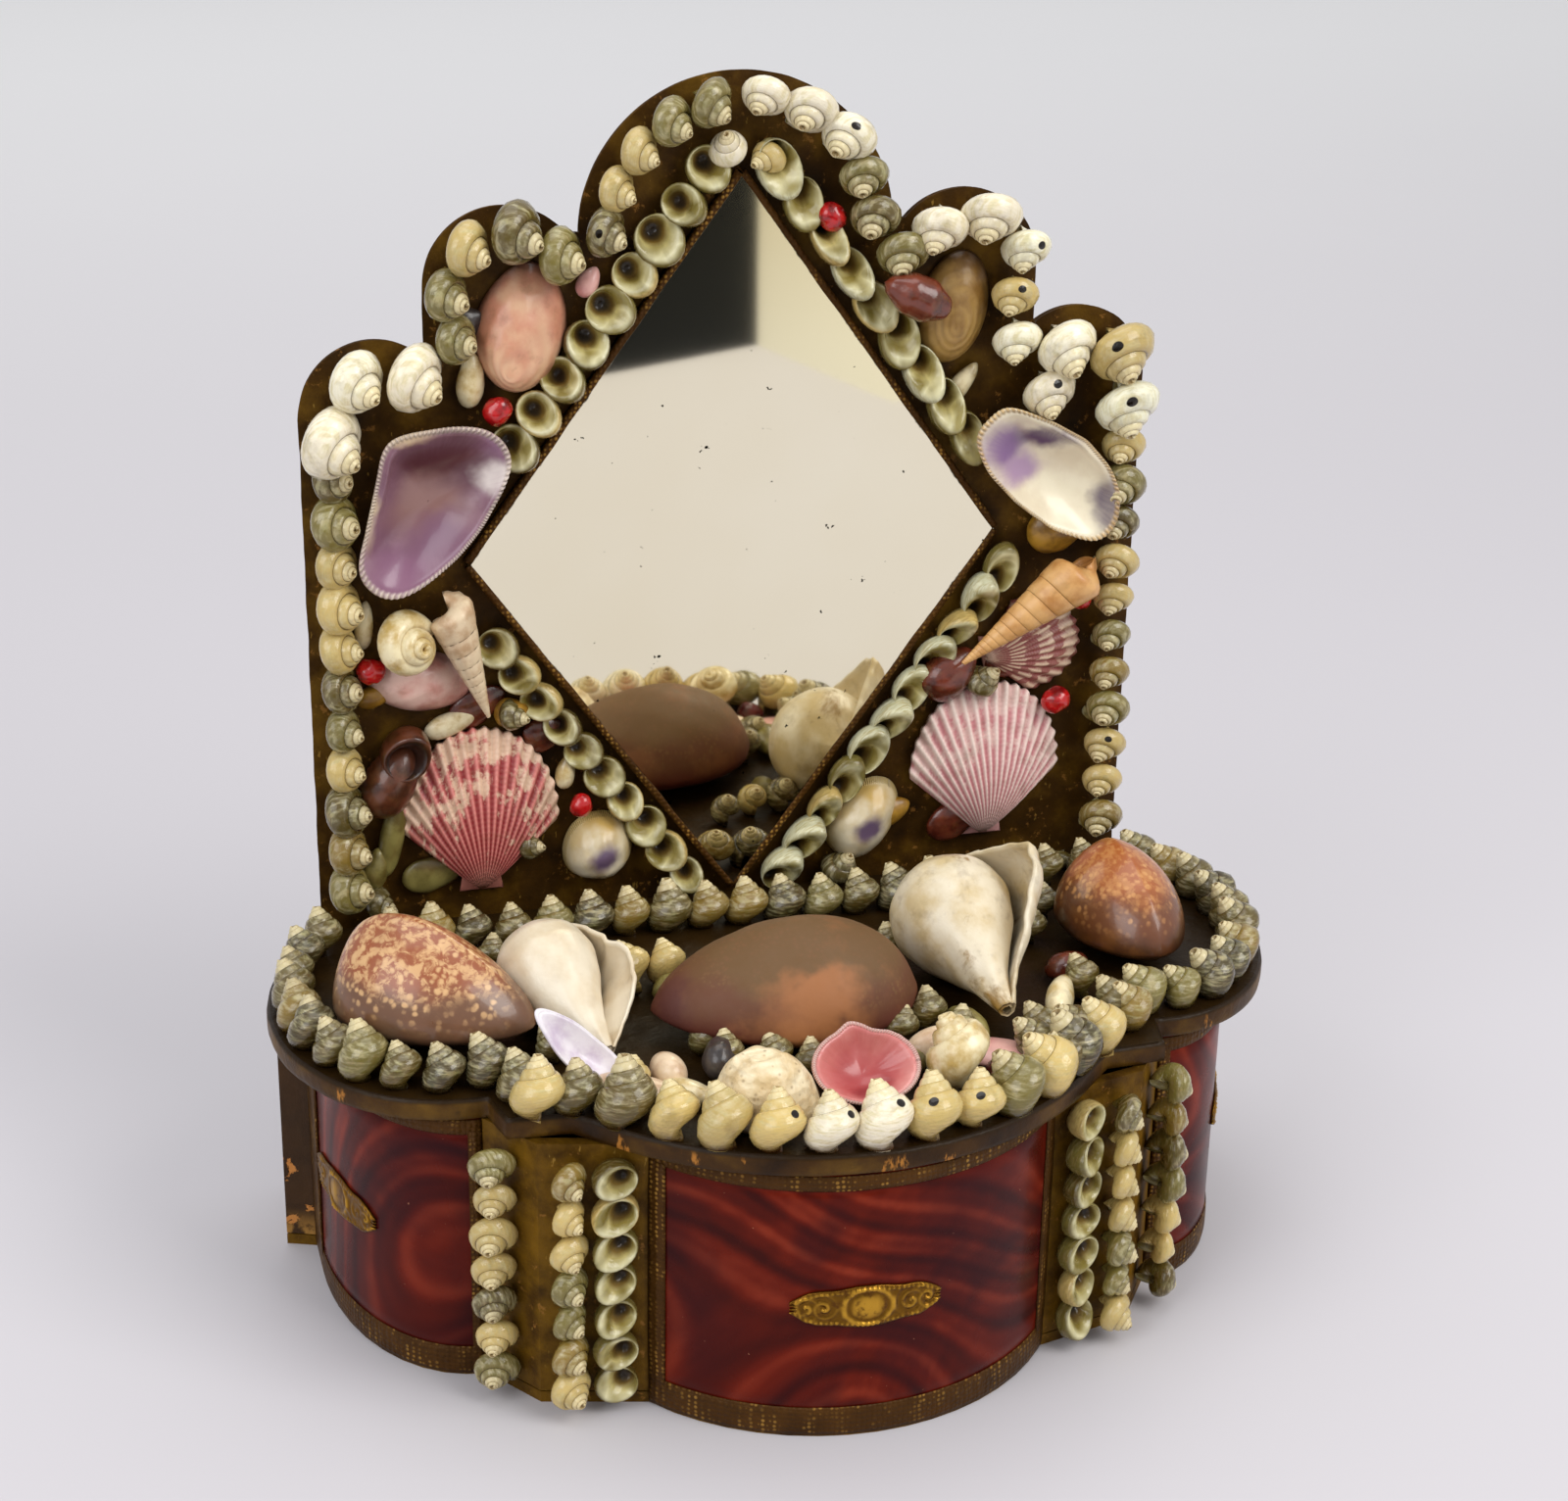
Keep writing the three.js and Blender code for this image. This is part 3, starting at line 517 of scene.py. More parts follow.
def grime(finish, base, dirt, vector, scale=0.35, amount=0.55):
    """Brown dirt and old varnish that gathers in patches."""
    patches = finish.fade(finish.noise(vector, scale, 5, 0.6), 0.5, 0.72)
    return finish.blend(finish.times(patches, amount), base, dirt)


def contact_shade(finish, base):
    """Painted contact shade: darkens, with an uneven edge, whatever lies within a few millimetres of the board or the
    lid, where the shells stand and shade falls between them.
    """
    at = finish.place()
    off_board = finish.math("SUBTRACT", BOARD_Y * MM, finish.part(at, "Y"))
    off_lid = finish.math("SUBTRACT", finish.part(at, "Z"), LID_Z * MM)
    below = finish.times(finish.math("LESS_THAN", off_lid, 0.0), 0.01)
    height = finish.math("MINIMUM", off_board, finish.math("ADD", finish.math("ABSOLUTE", off_lid), below))
    uneven = finish.times_plus(finish.noise(at, 260, 3), 0.003, height)
    # Painted shade: the colour is multiplied darker close to the board and the lid.
    return finish.blend(finish.fade(uneven, 0.0052, 0.0014), base, colour(86, 58, 20), "MULTIPLY")


def small_shell_finish(name="pearl"):
    """Worn top shells: an olive skin, growth streaks and spiral threads over nacre, some with a drilled hole painted
    as a dark spot. Painted light: a highlight on the shoulder of each whorl, and shade on its underside, in the seam
    between whorls and deep inside the mouth.
    """
    f = Finish(name, roughness=0.2, coat=0.45, specular=0.3)
    own, ray = f.mark("own"), f.mark("ray")
    along, around, inside = [f.part(ray, axis) for axis in "XYZ"]
    skin = f.mark("tint")
    streaks = f.noise(f.vector(f.times(along, 7.0), f.times(around, 2.2), f.part(own, "Z")),
                      1.6, 4)
    skin = f.wash(skin, colour(226, 210, 150), f.fade(streaks, 0.48, 0.7), 0.22)
    shade = f.times(f.fade(streaks, 0.52, 0.3), 0.45)
    skin = f.blend(shade, skin, colour(120, 96, 44), "MULTIPLY")
    pearly = f.fade(f.noise(f.vector(f.times(along, 2.0), f.times(around, 3.0),
                                     f.part(own, "Z")), 1.0, 2), 0.5, 0.62)
    skin = f.wash(skin, colour(172, 166, 92), pearly, 0.2)
    skin = f.blend(0.4, skin, colour(222, 206, 150), "MULTIPLY")
    hue = f.ramp(f.noise(own, 0.42, 2), [(0.32, colour(150, 176, 130)), (0.48, colour(220, 210, 166)),
                                         (0.6, colour(210, 170, 140)), (0.72, colour(156, 172, 150))])
    skin = f.blend(0.1, skin, hue)
    threads = f.wave(f.times_plus(f.noise(own, 0.5), 0.05, around), 26.0)
    skin = f.wash(skin, colour(96, 78, 40), threads, 0.1, "MULTIPLY")
    skin = f.wash(skin, colour(236, 216, 166), f.fade(along, -1.1, -2.6), 0.62)
    # Painted shade: the underside of each whorl, turned towards the board, is multiplied darker.
    skin = f.wash(skin, colour(150, 126, 62), f.fade(around, 0.35, 0.8), 0.8, "MULTIPLY")
    # Painted highlight: a pale band along the upper shoulder of each whorl.
    shoulder_highlight = f.times(f.fade(around, 0.06, 0.16), f.fade(around, 0.42, 0.22))
    skin = f.wash(skin, colour(232, 226, 184), shoulder_highlight, 0.24)
    body = f.times(f.fade(along, -2.4, -1.0), f.times(f.fade(streaks, 0.64, 0.4), 0.85))
    skin = f.blend(body, skin, f.mark("tint"))
    # Painted shade in the crease of the seam between whorls.
    seam = f.math("MAXIMUM", f.fade(around, 0.05, 0.0), f.fade(around, 0.93, 1.0))
    skin = f.wash(skin, colour(70, 48, 20), seam, 0.75, "MULTIPLY")
    skin = grime(f, skin, colour(92, 70, 26), own, 0.14, 0.35)
    skin = contact_shade(f, skin)
    drilled = f.drilled()
    # A drilled hole is not cut: a near-black spot of painted shade stands for the dark inside seen through it.
    hole_x = f.times(f.math("ADD", along, f.times_plus(drilled, 0.2, 0.4)), 3.2)
    hole_y = f.times(f.math("SUBTRACT", around, 0.2), 1.9)
    hole_shade = f.fade(f.math("ADD", f.times(hole_x, hole_x), f.times(hole_y, hole_y)),
                  0.012, 0.008)
    hole_shade = f.times(hole_shade, f.math("GREATER_THAN", drilled, 0.01))
    skin = f.blend(hole_shade, skin, colour(20, 12, 5))
    nacre = f.ramp(f.noise(own, 0.16, 1), [(0.34, colour(140, 128, 72)), (0.5, colour(218, 212, 170)),
                                          (0.66, colour(160, 148, 92))])
    # Painted shade: the inside of the mouth darkens from pale nacre at the lip to dark brown deep in.
    deep = f.ramp(inside, [(0.1, (1, 1, 1, 1)), (0.36, colour(230, 220, 180)), (0.6, colour(156, 128, 70)),
                           (0.92, colour(58, 40, 14))])
    f.paint(f.blend(f.fade(inside, 0.02, 0.12), skin, f.blend(1.0, nacre, deep, "MULTIPLY")))
    f.rough(f.times_plus(f.fade(inside, 0.3, 0.6), 0.5, 0.16))
    f.relief(threads, 0.05, 0.3)
    f.relief(f.noise(f.vector(f.times(along, 5.0), around, f.part(own, "Z")), 1.4, 2), 0.5, 0.3)
    f.relief(f.wave(f.times_plus(f.noise(own, 0.6), 0.2, along), 9.0), 0.12, 0.4)
    return f.material


def plain_shell_finish(name, light, dark, roughness=0.35, coat=0.15, scale=0.16, lines=0.0, dirt=0.3,
                       pores=0.0, stain=None, seam=0.0, mouth=0.0):
    """Smooth or worn shell in two tones, with growth lines, pores, painted shade in the seam between whorls and inside
    the mouth, and a little dirt.
    """
    f = Finish(name, roughness=roughness, coat=coat)
    own, ray = f.mark("own"), f.mark("ray")
    base = f.blend(f.fade(f.noise(own, scale, 5), 0.38, 0.66), light, dark)
    if lines:
        growth = f.wave(f.times_plus(f.noise(own, scale * 2), 0.12, f.part(ray, "X")), lines)
        base = f.wash(base, dark, growth, 0.35)
        f.relief(growth, 0.25, 0.45)
    if seam:
        # Painted shade in the crease of the seam between whorls.
        around = f.part(ray, "Y")
        seam_shade = f.math("MAXIMUM", f.fade(around, 0.045, 0.0), f.fade(around, 0.95, 1.0))
        base = f.wash(base, colour(120, 78, 40), seam_shade, seam, "MULTIPLY")
    if mouth:
        # Painted shade: near-black inside the mouth, where the hollow lies in shade.
        inside = f.fade(f.part(ray, "Z"), 0.05, 0.16)
        base = f.wash(base, colour(30, 14, 8), inside, mouth)
    if stain:
        base = f.blend(f.fade(f.noise(own, scale * 0.6, 6, 0.65, 0.6), 0.56, 0.68), base, stain)
    if pores:
        pits = f.fade(f.cells(own, pores), 0.28, 0.08)
        base = f.wash(base, colour(126, 96, 58), pits, 0.5)
        f.relief(f.cells(own, pores), 0.6, 0.5)
    base = grime(f, base, colour(112, 82, 40), own, 0.22, dirt)
    f.paint(contact_shade(f, base))
    f.relief(f.noise(own, 1.4, 6), 0.12, 0.4)
    return f.material


def ribbed_finish(name, valley, crest, patch, patch_share, ribs, zigzag=0.0):
    """Scallop: dark and pale stripes along the ribs, broken by pale patches."""
    f = Finish(name, roughness=0.42, coat=0.1)
    own, ray = f.mark("own"), f.mark("ray")
    out, across = f.part(ray, "X"), f.part(ray, "Y")
    stripe = f.wave(across, ribs, -math.pi / 2)
    stripe = f.math("POWER", stripe, 1.3)
    base = f.blend(stripe, valley, crest)
    bands = f.noise(f.vector(f.times(out, 2.6), f.times(across, 3.2), 0.0), 2.0, 5, 0.7)
    bands = f.times_plus(out, 0.3, f.math("SUBTRACT", bands, 0.22))
    base = f.wash(base, patch, f.fade(bands, 0.48, 0.58), patch_share)
    if zigzag:
        bent = f.times_plus(f.math("ABSOLUTE", f.math("SINE", f.times(across, 34.0))),
                      0.05, out)
        bent = f.times_plus(f.noise(own, 0.3), 0.22, bent)
        base = f.wash(base, valley, f.fade(f.wave(bent, 3.6), 0.5, 0.72), zigzag)
    base = f.wash(base, patch, f.fade(out, 0.3, 0.05), 0.25)
    rings = f.wave(f.times_plus(f.noise(own, 0.2), 0.02, out), 34.0)
    base = f.wash(base, patch, rings, 0.05)
    f.paint(grime(f, base, colour(120, 84, 48), own, 0.2, 0.3))
    f.relief(rings, 0.1, 0.4)
    return f.material


def marked(f, base, own, marks, uneven=6.0):
    """Stains with uneven edges, each (x, y, width, height, colour) in millimetres."""
    shift = f.sum(f.noise_vector(own, 0.14), (-0.5, -0.5, -0.5))
    warped = f.sum(own, f.stretched(shift, (uneven, uneven, 0.0)))
    for x, y, wide, high, shade in marks:
        off = f.stretched(f.sum(warped, (-x, -y, 0.0)), (1 / wide, 1 / high, 0.0))
        reach = f.node("VectorMath", {0: off}, operation="LENGTH").outputs["Value"]
        base = f.blend(f.fade(reach, 1.3, 0.35), base, shade)
    return base


def clam_finish(name, marks, inner, pale, rim):
    """Inside of a wedge clam: marks are stains, each (x, y, width, height, colour) in millimetres."""
    f = Finish(name, roughness=0.28, coat=0.2)
    own, ray = f.mark("own"), f.mark("ray")
    out, turn = f.part(ray, "X"), f.part(ray, "Y")
    base = f.blend(f.fade(f.noise(own, 0.1, 4), 0.4, 0.65), inner, pale)
    base = marked(f, base, own, marks)
    rays = f.noise(f.vector(f.times(turn, 60.0), f.times(out, 1.2), 0.0), 2.2, 3)
    base = f.wash(base, pale, f.times(f.fade(out, 0.55, 0.95), rays), 0.5)
    comb = f.wave(turn, 110.0)
    edge = f.fade(out, 0.93, 0.985)
    base = f.blend(f.times(edge, f.times_plus(comb, 0.5, 0.4)), base, rim)
    f.paint(base)
    f.relief(f.times(edge, comb), 0.5, 0.7)
    f.relief(f.noise(own, 0.5, 3), 0.2, 0.2)
    return f.material


def speckled_finish(name, back, side, low, speck, patch, roughness=0.2, coat=0.35, specks=0.55, worn=0.5,
                    mottled=0.0, marks=()):
    """Cowrie: a light back that passes by height into darker sides, darkest low down towards the lid, with fine
    specks.
    """
    f = Finish(name, roughness=roughness, coat=coat)
    own = f.mark("own")
    height = f.math("ADD", f.part(f.place(), "Z"), 0.0)
    share = f.times_plus(f.noise(own, 0.09, 4), 0.5, f.fade(height, 0.068, 0.09))
    base = f.blend(f.fade(share, 0.3, 0.7), low, side)
    base = f.blend(f.fade(share, 0.85, 1.15), base, back)
    fine = f.cells(f.sum(own, f.stretched(f.noise_vector(own, 0.5), (1.2, 1.2, 1.2))), specks)
    dots = f.times(f.fade(fine, 0.5, 0.2), f.fade(f.noise(own, 0.12, 5), 0.36, 0.6))
    base = f.blend(f.times(dots, f.fade(share, 0.5, 0.9)), base, speck)
    if mottled:
        net = f.fade(f.noise(own, 0.42, 6, 0.65, 0.5), 0.45, 0.6)
        top = f.fade(share, 0.78, 1.1)
        base = f.wash(base, speck, f.times(net, top), mottled)
    wear = f.times(f.fade(f.noise(own, 0.075, 6, 0.6), 0.5, 0.64), worn)
    base = f.blend(wear, base, patch)
    f.paint(marked(f, base, own, marks, 14.0))
    f.rough(f.times_plus(f.noise(own, 0.4, 4), 0.25, roughness))
    f.relief(f.noise(own, 0.7, 5), 0.15, 0.3)
    return f.material


def card_finish():
    """Dark varnished card with scuffs, orange-brown worn flakes and rubbed gold."""
    f = Finish("old_card", roughness=0.5, specular=0.12)
    at = f.place()
    base = f.ramp(f.noise(at, 90, 6), [(0.3, colour(38, 22, 3)), (0.5, colour(66, 42, 7)),
                                       (0.72, colour(106, 76, 18))])
    # Lighter olive card on the faces in front of the board and below the lid, the pilasters; the darker tone left on
    # the board is partly painted shade of the shells on it, so the two are lit and shaded copies of one card.
    front = f.fade(f.part(at, "Y"), BOARD_Y * MM - 0.002, BOARD_Y * MM - 0.006)
    low = f.times(front, f.fade(f.part(at, "Z"), LID_Z * MM, LID_Z * MM - 0.002))
    low = f.times(low, f.fade(f.noise(at, 130, 5), 0.3, 0.7))
    base = f.blend(low, base, colour(118, 84, 16))
    flakes = f.fade(f.noise(at, 330, 6, 0.7), 0.6, 0.68)
    base = f.wash(base, colour(170, 118, 56), flakes, 0.5)
    gold = f.fade(f.noise(f.stretched(at, (1, 1, 0.4)), 700, 3), 0.68, 0.74)
    base = f.wash(base, colour(190, 150, 70), gold, 0.4)
    f.paint(base)
    f.rough(f.times_plus(f.noise(at, 220, 4), 0.4, 0.32))
    f.relief(f.noise(at, 260, 8, 0.65), 0.5, 0.8)
    return f.material


def post_finish():
    """Card posts whose paper has flaked off in orange-tan spots."""
    f = Finish("flaked_post", roughness=0.6, specular=0.25)
    at = f.place()
    base = f.blend(f.noise(at, 120, 5), colour(36, 20, 6), colour(78, 50, 18))
    spots = f.fade(f.noise(at, 190, 5, 0.6, 0.4), 0.6, 0.63)
    base = f.blend(spots, base, colour(196, 128, 62))
    foot = f.times(f.fade(f.part(at, "Z"), 0.01, 0.002), f.fade(f.noise(at, 260, 5), 0.4, 0.55))
    f.paint(f.blend(foot, base, colour(168, 122, 56)))
    f.relief(f.math("SUBTRACT", f.noise(at, 300, 6), spots), 0.5, 0.8)
    return f.material


def marbled_finish():
    """Red marbled paper under varnish: folds of dark red and purple-black with narrow bright crests."""
    f = Finish("marbled_paper", roughness=0.3, coat=0.05, specular=0.08)
    at = f.place()
    bend = f.sum(at, f.stretched(f.sum(f.noise_vector(at, 15, 0), (-0.5, -0.5, -0.5)), (0.26, 0.26, 0.26)))
    across = f.times_plus(f.part(bend, "X"), 0.55, f.part(bend, "Z"))
    folds = f.wave(across, 38.0)
    fine = f.wave(across, 97.0)
    share = f.times_plus(fine, 0.2, f.times(folds, 0.5))
    share = f.times_plus(f.noise(bend, 36, 3), 0.9, f.math("SUBTRACT", share, 0.3))
    base = f.ramp(share, [(0.1, colour(58, 11, 7)), (0.4, colour(82, 18, 7)), (0.62, colour(100, 25, 10)),
                          (0.95, colour(132, 46, 26))])
    dark = f.fade(f.noise(bend, 20, 2), 0.5, 0.7)
    base = f.wash(base, colour(38, 8, 14), dark, 0.6)
    specks = f.fade(f.noise(at, 900, 2), 0.76, 0.79)
    cloud = f.fade(f.noise(at, 22, 3, 0.5, 0.4), 0.46, 0.66)
    base = f.blend(f.times(cloud, 0.5), base, colour(46, 12, 18), "MIX")
    f.paint(f.blend(f.times(specks, 0.5), base, colour(190, 130, 100)))
    f.rough(f.times_plus(f.noise(at, 60, 4), 0.25, 0.16))
    f.relief(f.noise(at, 45, 3), 0.5, 0.2)
    return f.material


def binding_finish():
    """Embossed brown paper that binds the edges: a fine raised pattern with rubbed gold."""
    f = Finish("paper_binding", roughness=0.45, metallic=0.2, specular=0.12)
    at = f.place()
    base = f.blend(f.noise(at, 140, 5), colour(40, 23, 6), colour(92, 58, 18))
    weave = f.cells(at, 900, 0.3)
    rubbed = f.times(f.fade(weave, 0.45, 0.2), f.fade(f.noise(at, 130, 5), 0.42, 0.66))
    base = f.wash(base, colour(176, 132, 60), rubbed, 0.75)
    f.paint(base)
    f.relief(weave, -0.5, 0.7)
    f.relief(f.noise(at, 240, 5), 0.3, 0.5)
    return f.material


def lid_finish():
    """Lid: brown-olive paper whose rim is rubbed to orange and pale card, and whose top is darkened as painted shade
    of the shells on it.
    """
    f = Finish("lid_paper", roughness=0.36, specular=0.16)
    at = f.place()
    base = f.ramp(f.noise(at, 60, 6), [(0.32, colour(38, 22, 6)), (0.5, colour(64, 40, 10)),
                                       (0.7, colour(106, 76, 22))])
    z = f.part(at, "Z")
    # Painted shade: the top face of the lid, between the crowded shells, is made much darker than its rim.
    base = f.blend(f.fade(z, LID_Z * MM - 0.0012, LID_Z * MM - 0.0004), base,
                   f.blend(f.noise(at, 110, 6), colour(20, 11, 3), colour(54, 36, 10)))
    worn = f.times(f.fade(f.noise(f.stretched(at, (1, 1, 0.35)), 150, 6, 0.65), 0.61, 0.66),
                  f.fade(z, LID_Z * MM - 0.0005, LID_Z * MM - 0.002))
    base = f.blend(worn, base, colour(170, 112, 46))
    dark = f.fade(f.noise(at, 300, 5), 0.56, 0.7)
    base = f.wash(base, colour(44, 28, 10), dark, 0.5)
    f.paint(base)
    f.rough(f.times_plus(f.noise(at, 120, 4), 0.4, 0.2))
    f.relief(f.noise(at, 180, 7, 0.6), 0.6, 0.7)
    return f.material


def mirror_finish():
    """Old mirror: cream silvering, black specks, and brown tarnish at its edges and top."""
    f = Finish("old_mirror", roughness=0.03, metallic=1.0)
    at = f.place()
    x, z = f.part(at, "X"), f.part(at, "Z")
    cx, cz, reach_x, reach_z = mirror_shape()
    edge = f.math("ADD", f.times(f.math("ABSOLUTE", x), 1 / reach_x),
                  f.times(f.math("ABSOLUTE", f.math("SUBTRACT", z, cz)), 1 / reach_z))
    ragged = f.times_plus(f.noise(at, 190, 7, 0.7), 0.03, edge)
    silver = f.blend(f.noise(at, 16, 3), colour(246, 241, 220), colour(236, 226, 196))
    silver = f.blend(f.fade(z, 0.19, 0.234), silver, colour(222, 210, 176))
    tarnish = f.fade(ragged, 1.0, 1.008)
    silver = f.blend(tarnish, silver, colour(40, 30, 14))
    specks = f.fade(f.noise(at, 300, 4, 0.6), 0.7, 0.715)
    silver = f.blend(specks, silver, colour(16, 14, 10))
    f.paint(silver)
    f.rough(f.times_plus(f.fade(ragged, 1.0, 1.01), 0.2, 0.03))
    f.relief(f.noise(at, 12, 2), 0.5, 0.06)
    return f.material


def mirror_shape():
    """Centre and half sizes of the mirror, in metres."""
    low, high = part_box("mirror_glass")
    return 0.0, (low[2] + high[2]) / 2, (high[0] - low[0]) / 2, (high[2] - low[2]) / 2


def foil_finish():
    """Pressed brass foil, tarnished in its hollows."""
    f = Finish("pressed_foil", roughness=0.34, metallic=0.85)
    at = f.place()
    rise = f.part(f.mark("ray"), "X")
    base = f.blend(f.fade(rise, 0.2, 0.8), colour(112, 76, 14), colour(196, 148, 48))
    base = f.blend(f.fade(f.noise(at, 420, 5), 0.52, 0.7), base, colour(96, 60, 16))
    f.paint(base)
    f.relief(f.noise(at, 700, 4), 0.2, 0.5)
    return f.material


def seed_finish():
    """Red seeds with a sealing-wax gloss."""
    f = Finish("red_seed", roughness=0.15, coat=0.5)
    own = f.mark("own")
    base = f.blend(f.fade(f.noise(own, 0.3, 4), 0.42, 0.66), colour(190, 20, 24), colour(112, 8, 12))
    f.paint(base)
    f.relief(f.noise(own, 0.5, 4), 0.4, 0.5)
    return f.material


# Small shells in rows

def arc(cx, cy, radius, start, end, count):
    a = np.radians(np.linspace(start, end, count))
    return [(cx + radius * math.cos(t), cy + radius * math.sin(t)) for t in a]


def spaced(line, count):
    """Points at even steps along an open line."""
    line = np.array(line, float)
    steps = np.concatenate([[0], np.cumsum(np.linalg.norm(np.diff(line, axis=0), axis=1))])
    at = np.linspace(0, steps[-1], count)
    return [tuple(np.array([np.interp(s, steps, line[:, k]) for k in range(2)])) for s in at]


def flipped(places):
    return [(-u, v) for u, v in places]


MOSS = colour(84, 68, 18)
DEEP_MOSS = colour(58, 45, 9)
CREAM = colour(202, 176, 108)
IVORY = colour(250, 240, 216)
SILVER = colour(116, 104, 48)
STRAW = colour(134, 108, 40)
PEARL = colour(216, 216, 184)
PALETTES = {
    "olive": [MOSS, MOSS, SILVER, STRAW, DEEP_MOSS, CREAM],
    "mixed": [SILVER, STRAW, CREAM, MOSS, SILVER, CREAM],
    "white": [IVORY, IVORY, CREAM],
    "nacre": [SILVER, CREAM, SILVER, MOSS],
    "moss": [MOSS, DEEP_MOSS, SILVER, DEEP_MOSS, MOSS, STRAW],
    "pearl": [PEARL, SILVER, PEARL, CREAM],
    "front": [CREAM, IVORY, CREAM],
}

# Kinds of top shell, of unit width, spire along +X and mouth at the tail
TURNS = 4.2
TOPS = {
    "round": [coil(height, growth, TURNS, 0.06) for height, growth in ((0.84, 1.62), (0.92, 1.58), (0.88, 1.7))],
    "cone": [coil(height, growth, TURNS, 0.035) for height, growth in ((1.12, 1.56), (1.22, 1.5), (1.05, 1.6))],
    "cup": [cup(), cup(0.46, 0.13, 0.95, -0.1), cup(0.55, 0.07, 0.84, 0.2)],
    "half": [cup(0.55, 0.16, 0.62, 0.2), cup(0.5, 0.18, 0.7, -0.15), cup(0.6, 0.14, 0.56, 0.3)],
}
MOUTH_UNDER, MOUTH_OUT = -90, 180


def single(heap, surface, place, width, aim, lean, palette, kind="cone"):
    """One small shell of a given width."""
    form = settled(moved(TOPS[kind][0], scale=(width * 1.15,) * 3), lean, MOUTH_UNDER + TURNS * 360, 0.12 * width)
    tint = np.array(PALETTES[palette][0][:3]) * dice.uniform(0.85, 1.1)
    heap.add(form, on(surface, *place, aim + dice.uniform(-15, 15)), tint, dice.uniform(0, 9))


def row(heap, surface, places, side, lean, palette, mouth=MOUTH_UNDER, size=1.06, spread=10, aim=None,
        kind="round", drilled=0.0, roll=14, sink=0.05):
    """A row of small shells that touch. Their spires point to one side of the line, or all the way that aim
    gives, and their mouths are turned to an angle."""
    places = [tuple(p) for p in places]
    for i, (u, v) in enumerate(places):
        before = np.subtract(places[i], places[max(i - 1, 0)])
        after = np.subtract(places[min(i + 1, len(places) - 1)], places[i])
        gaps = [np.hypot(*s) for s in (before, after) if np.hypot(*s) > 0]
        width = size * (sum(gaps) / len(gaps)) * dice.uniform(0.94, 1.1)
        along = math.degrees(math.atan2(before[1] + after[1], before[0] + after[0]))
        heading = (along + side * 90 if aim is None else aim) + dice.uniform(-spread, spread)
        open_side = kind in ("cup", "half")
        heading += dice.uniform(-30, 30) if kind == "cup" else 0
        top = TOPS[kind][dice.integers(len(TOPS[kind]))]
        turn = 0 if open_side else mouth + TURNS * 360 + dice.uniform(-roll, roll)
        form = settled(moved(top, scale=(width, width, width)), lean + dice.uniform(-7, 7), turn, sink * width)
        shades = PALETTES[palette]
        tint = np.array(shades[dice.integers(len(shades))][:3]) * dice.uniform(0.85, 1.12)
        heap.add(form, on(surface, u, v, heading), np.clip(tint, 0, 0.95), dice.uniform(0, 9),
                 dice.uniform() < drilled)


BOARD_HALF = 95
LOW_LOBE = (79, 185.5)
MID_LOBE = (51, 212)
ARCH = (0, 221.2)
EDGE = 5.6


def edge_rows(pearl):
    """The rows that follow the outline of the board."""
    column_x, foot = BOARD_HALF - EDGE, LID_Z + 12.3
    low_x, low_z = LOW_LOBE
    mid_x, mid_z = MID_LOBE
    rows = {
        "edge_row_left": [
            (spaced([(-column_x, foot), (-column_x, 174.0)], 11), 0, "mixed", 0),
            (arc(-low_x, low_z, 11, 194, 116, 2) + [(-low_x + 7.3, low_z + 10.2)], -28, "white", 0.5)],
        "edge_row_upper_left": [
            ([(-62.4, 202.9)] + arc(-mid_x, mid_z, 13.4, 178, 36, 4), -18, "mixed", 0),
            (arc(*ARCH, 30.4, 174, 104.6, 5), -30, "mixed", 0.2)],
        "edge_row_upper_right": [
            (arc(*ARCH, 30.6, 82.5, 44.5, 3), 230, "white", 0.5),
            (arc(*ARCH, 29, 26, 8, 2) + [(35.1, 217.3)], 250, "mixed", 0.3),
            (arc(mid_x, mid_z, 13, 128, 22, 3) + [(61.2, 206.6), (62.2, 196.4)], 250, "white", 0.3)],
        "edge_row_right": [
            ([(low_x - 8.8, low_z - 1.1)] + arc(low_x, low_z, 10.8, 120, -28, 3), 275, "white", 0.8),
            (spaced([(column_x, 170.4), (column_x, foot)], 11), 232, "mixed", 0.1)],
    }
    for name, runs in rows.items():
        heap = Heap()
        for places, aim, palette, drilled in runs:
            row(heap, BOARD, places, 0, 44, palette, aim=aim, drilled=drilled, size=1.46)
        ship(heap.build(name.replace("edge_row", "edge_shells"), pearl), name)


def mirror_rows(pearl):
    """Four rows of nacre shells round the mirror: cups on the left, bright flanks on the right."""
    _, cz, half_x, half_z = [v / MM for v in mirror_shape()]
    edge = math.hypot(half_x, half_z)
    inset = 6.6
    aside, away = half_z / edge * inset, half_x / edge * inset
    for name, sx, sz, start, end, count, aim, lean in (
            ("mirror_row_upper_left", -1, 1, 0.036, 0.735, 9, -60, 24),
            ("mirror_row_upper_right", 1, 1, 0.04, 0.78, 9, -70, 12),
            ("mirror_row_lower_left", -1, -1, 0.1, 0.81, 10, -40, 24),
            ("mirror_row_lower_right", 1, -1, 0.1, 0.94, 11, 62, 14)):
        places = spaced([(sx * (half_x * s + aside), cz + sz * (half_z * (1 - s) + away)) for s in (start, end)],
                        count)
        heap = Heap()
        kind = "cup" if sx < 0 else "half"
        row(heap, BOARD, places, 0, lean, "nacre" if sx < 0 else "pearl", spread=20, aim=aim, kind=kind,
            size=1.2 if kind == "cup" else 1.34)
        ship(heap.build(name.replace("mirror_row", "mirror_shells"), pearl), name)


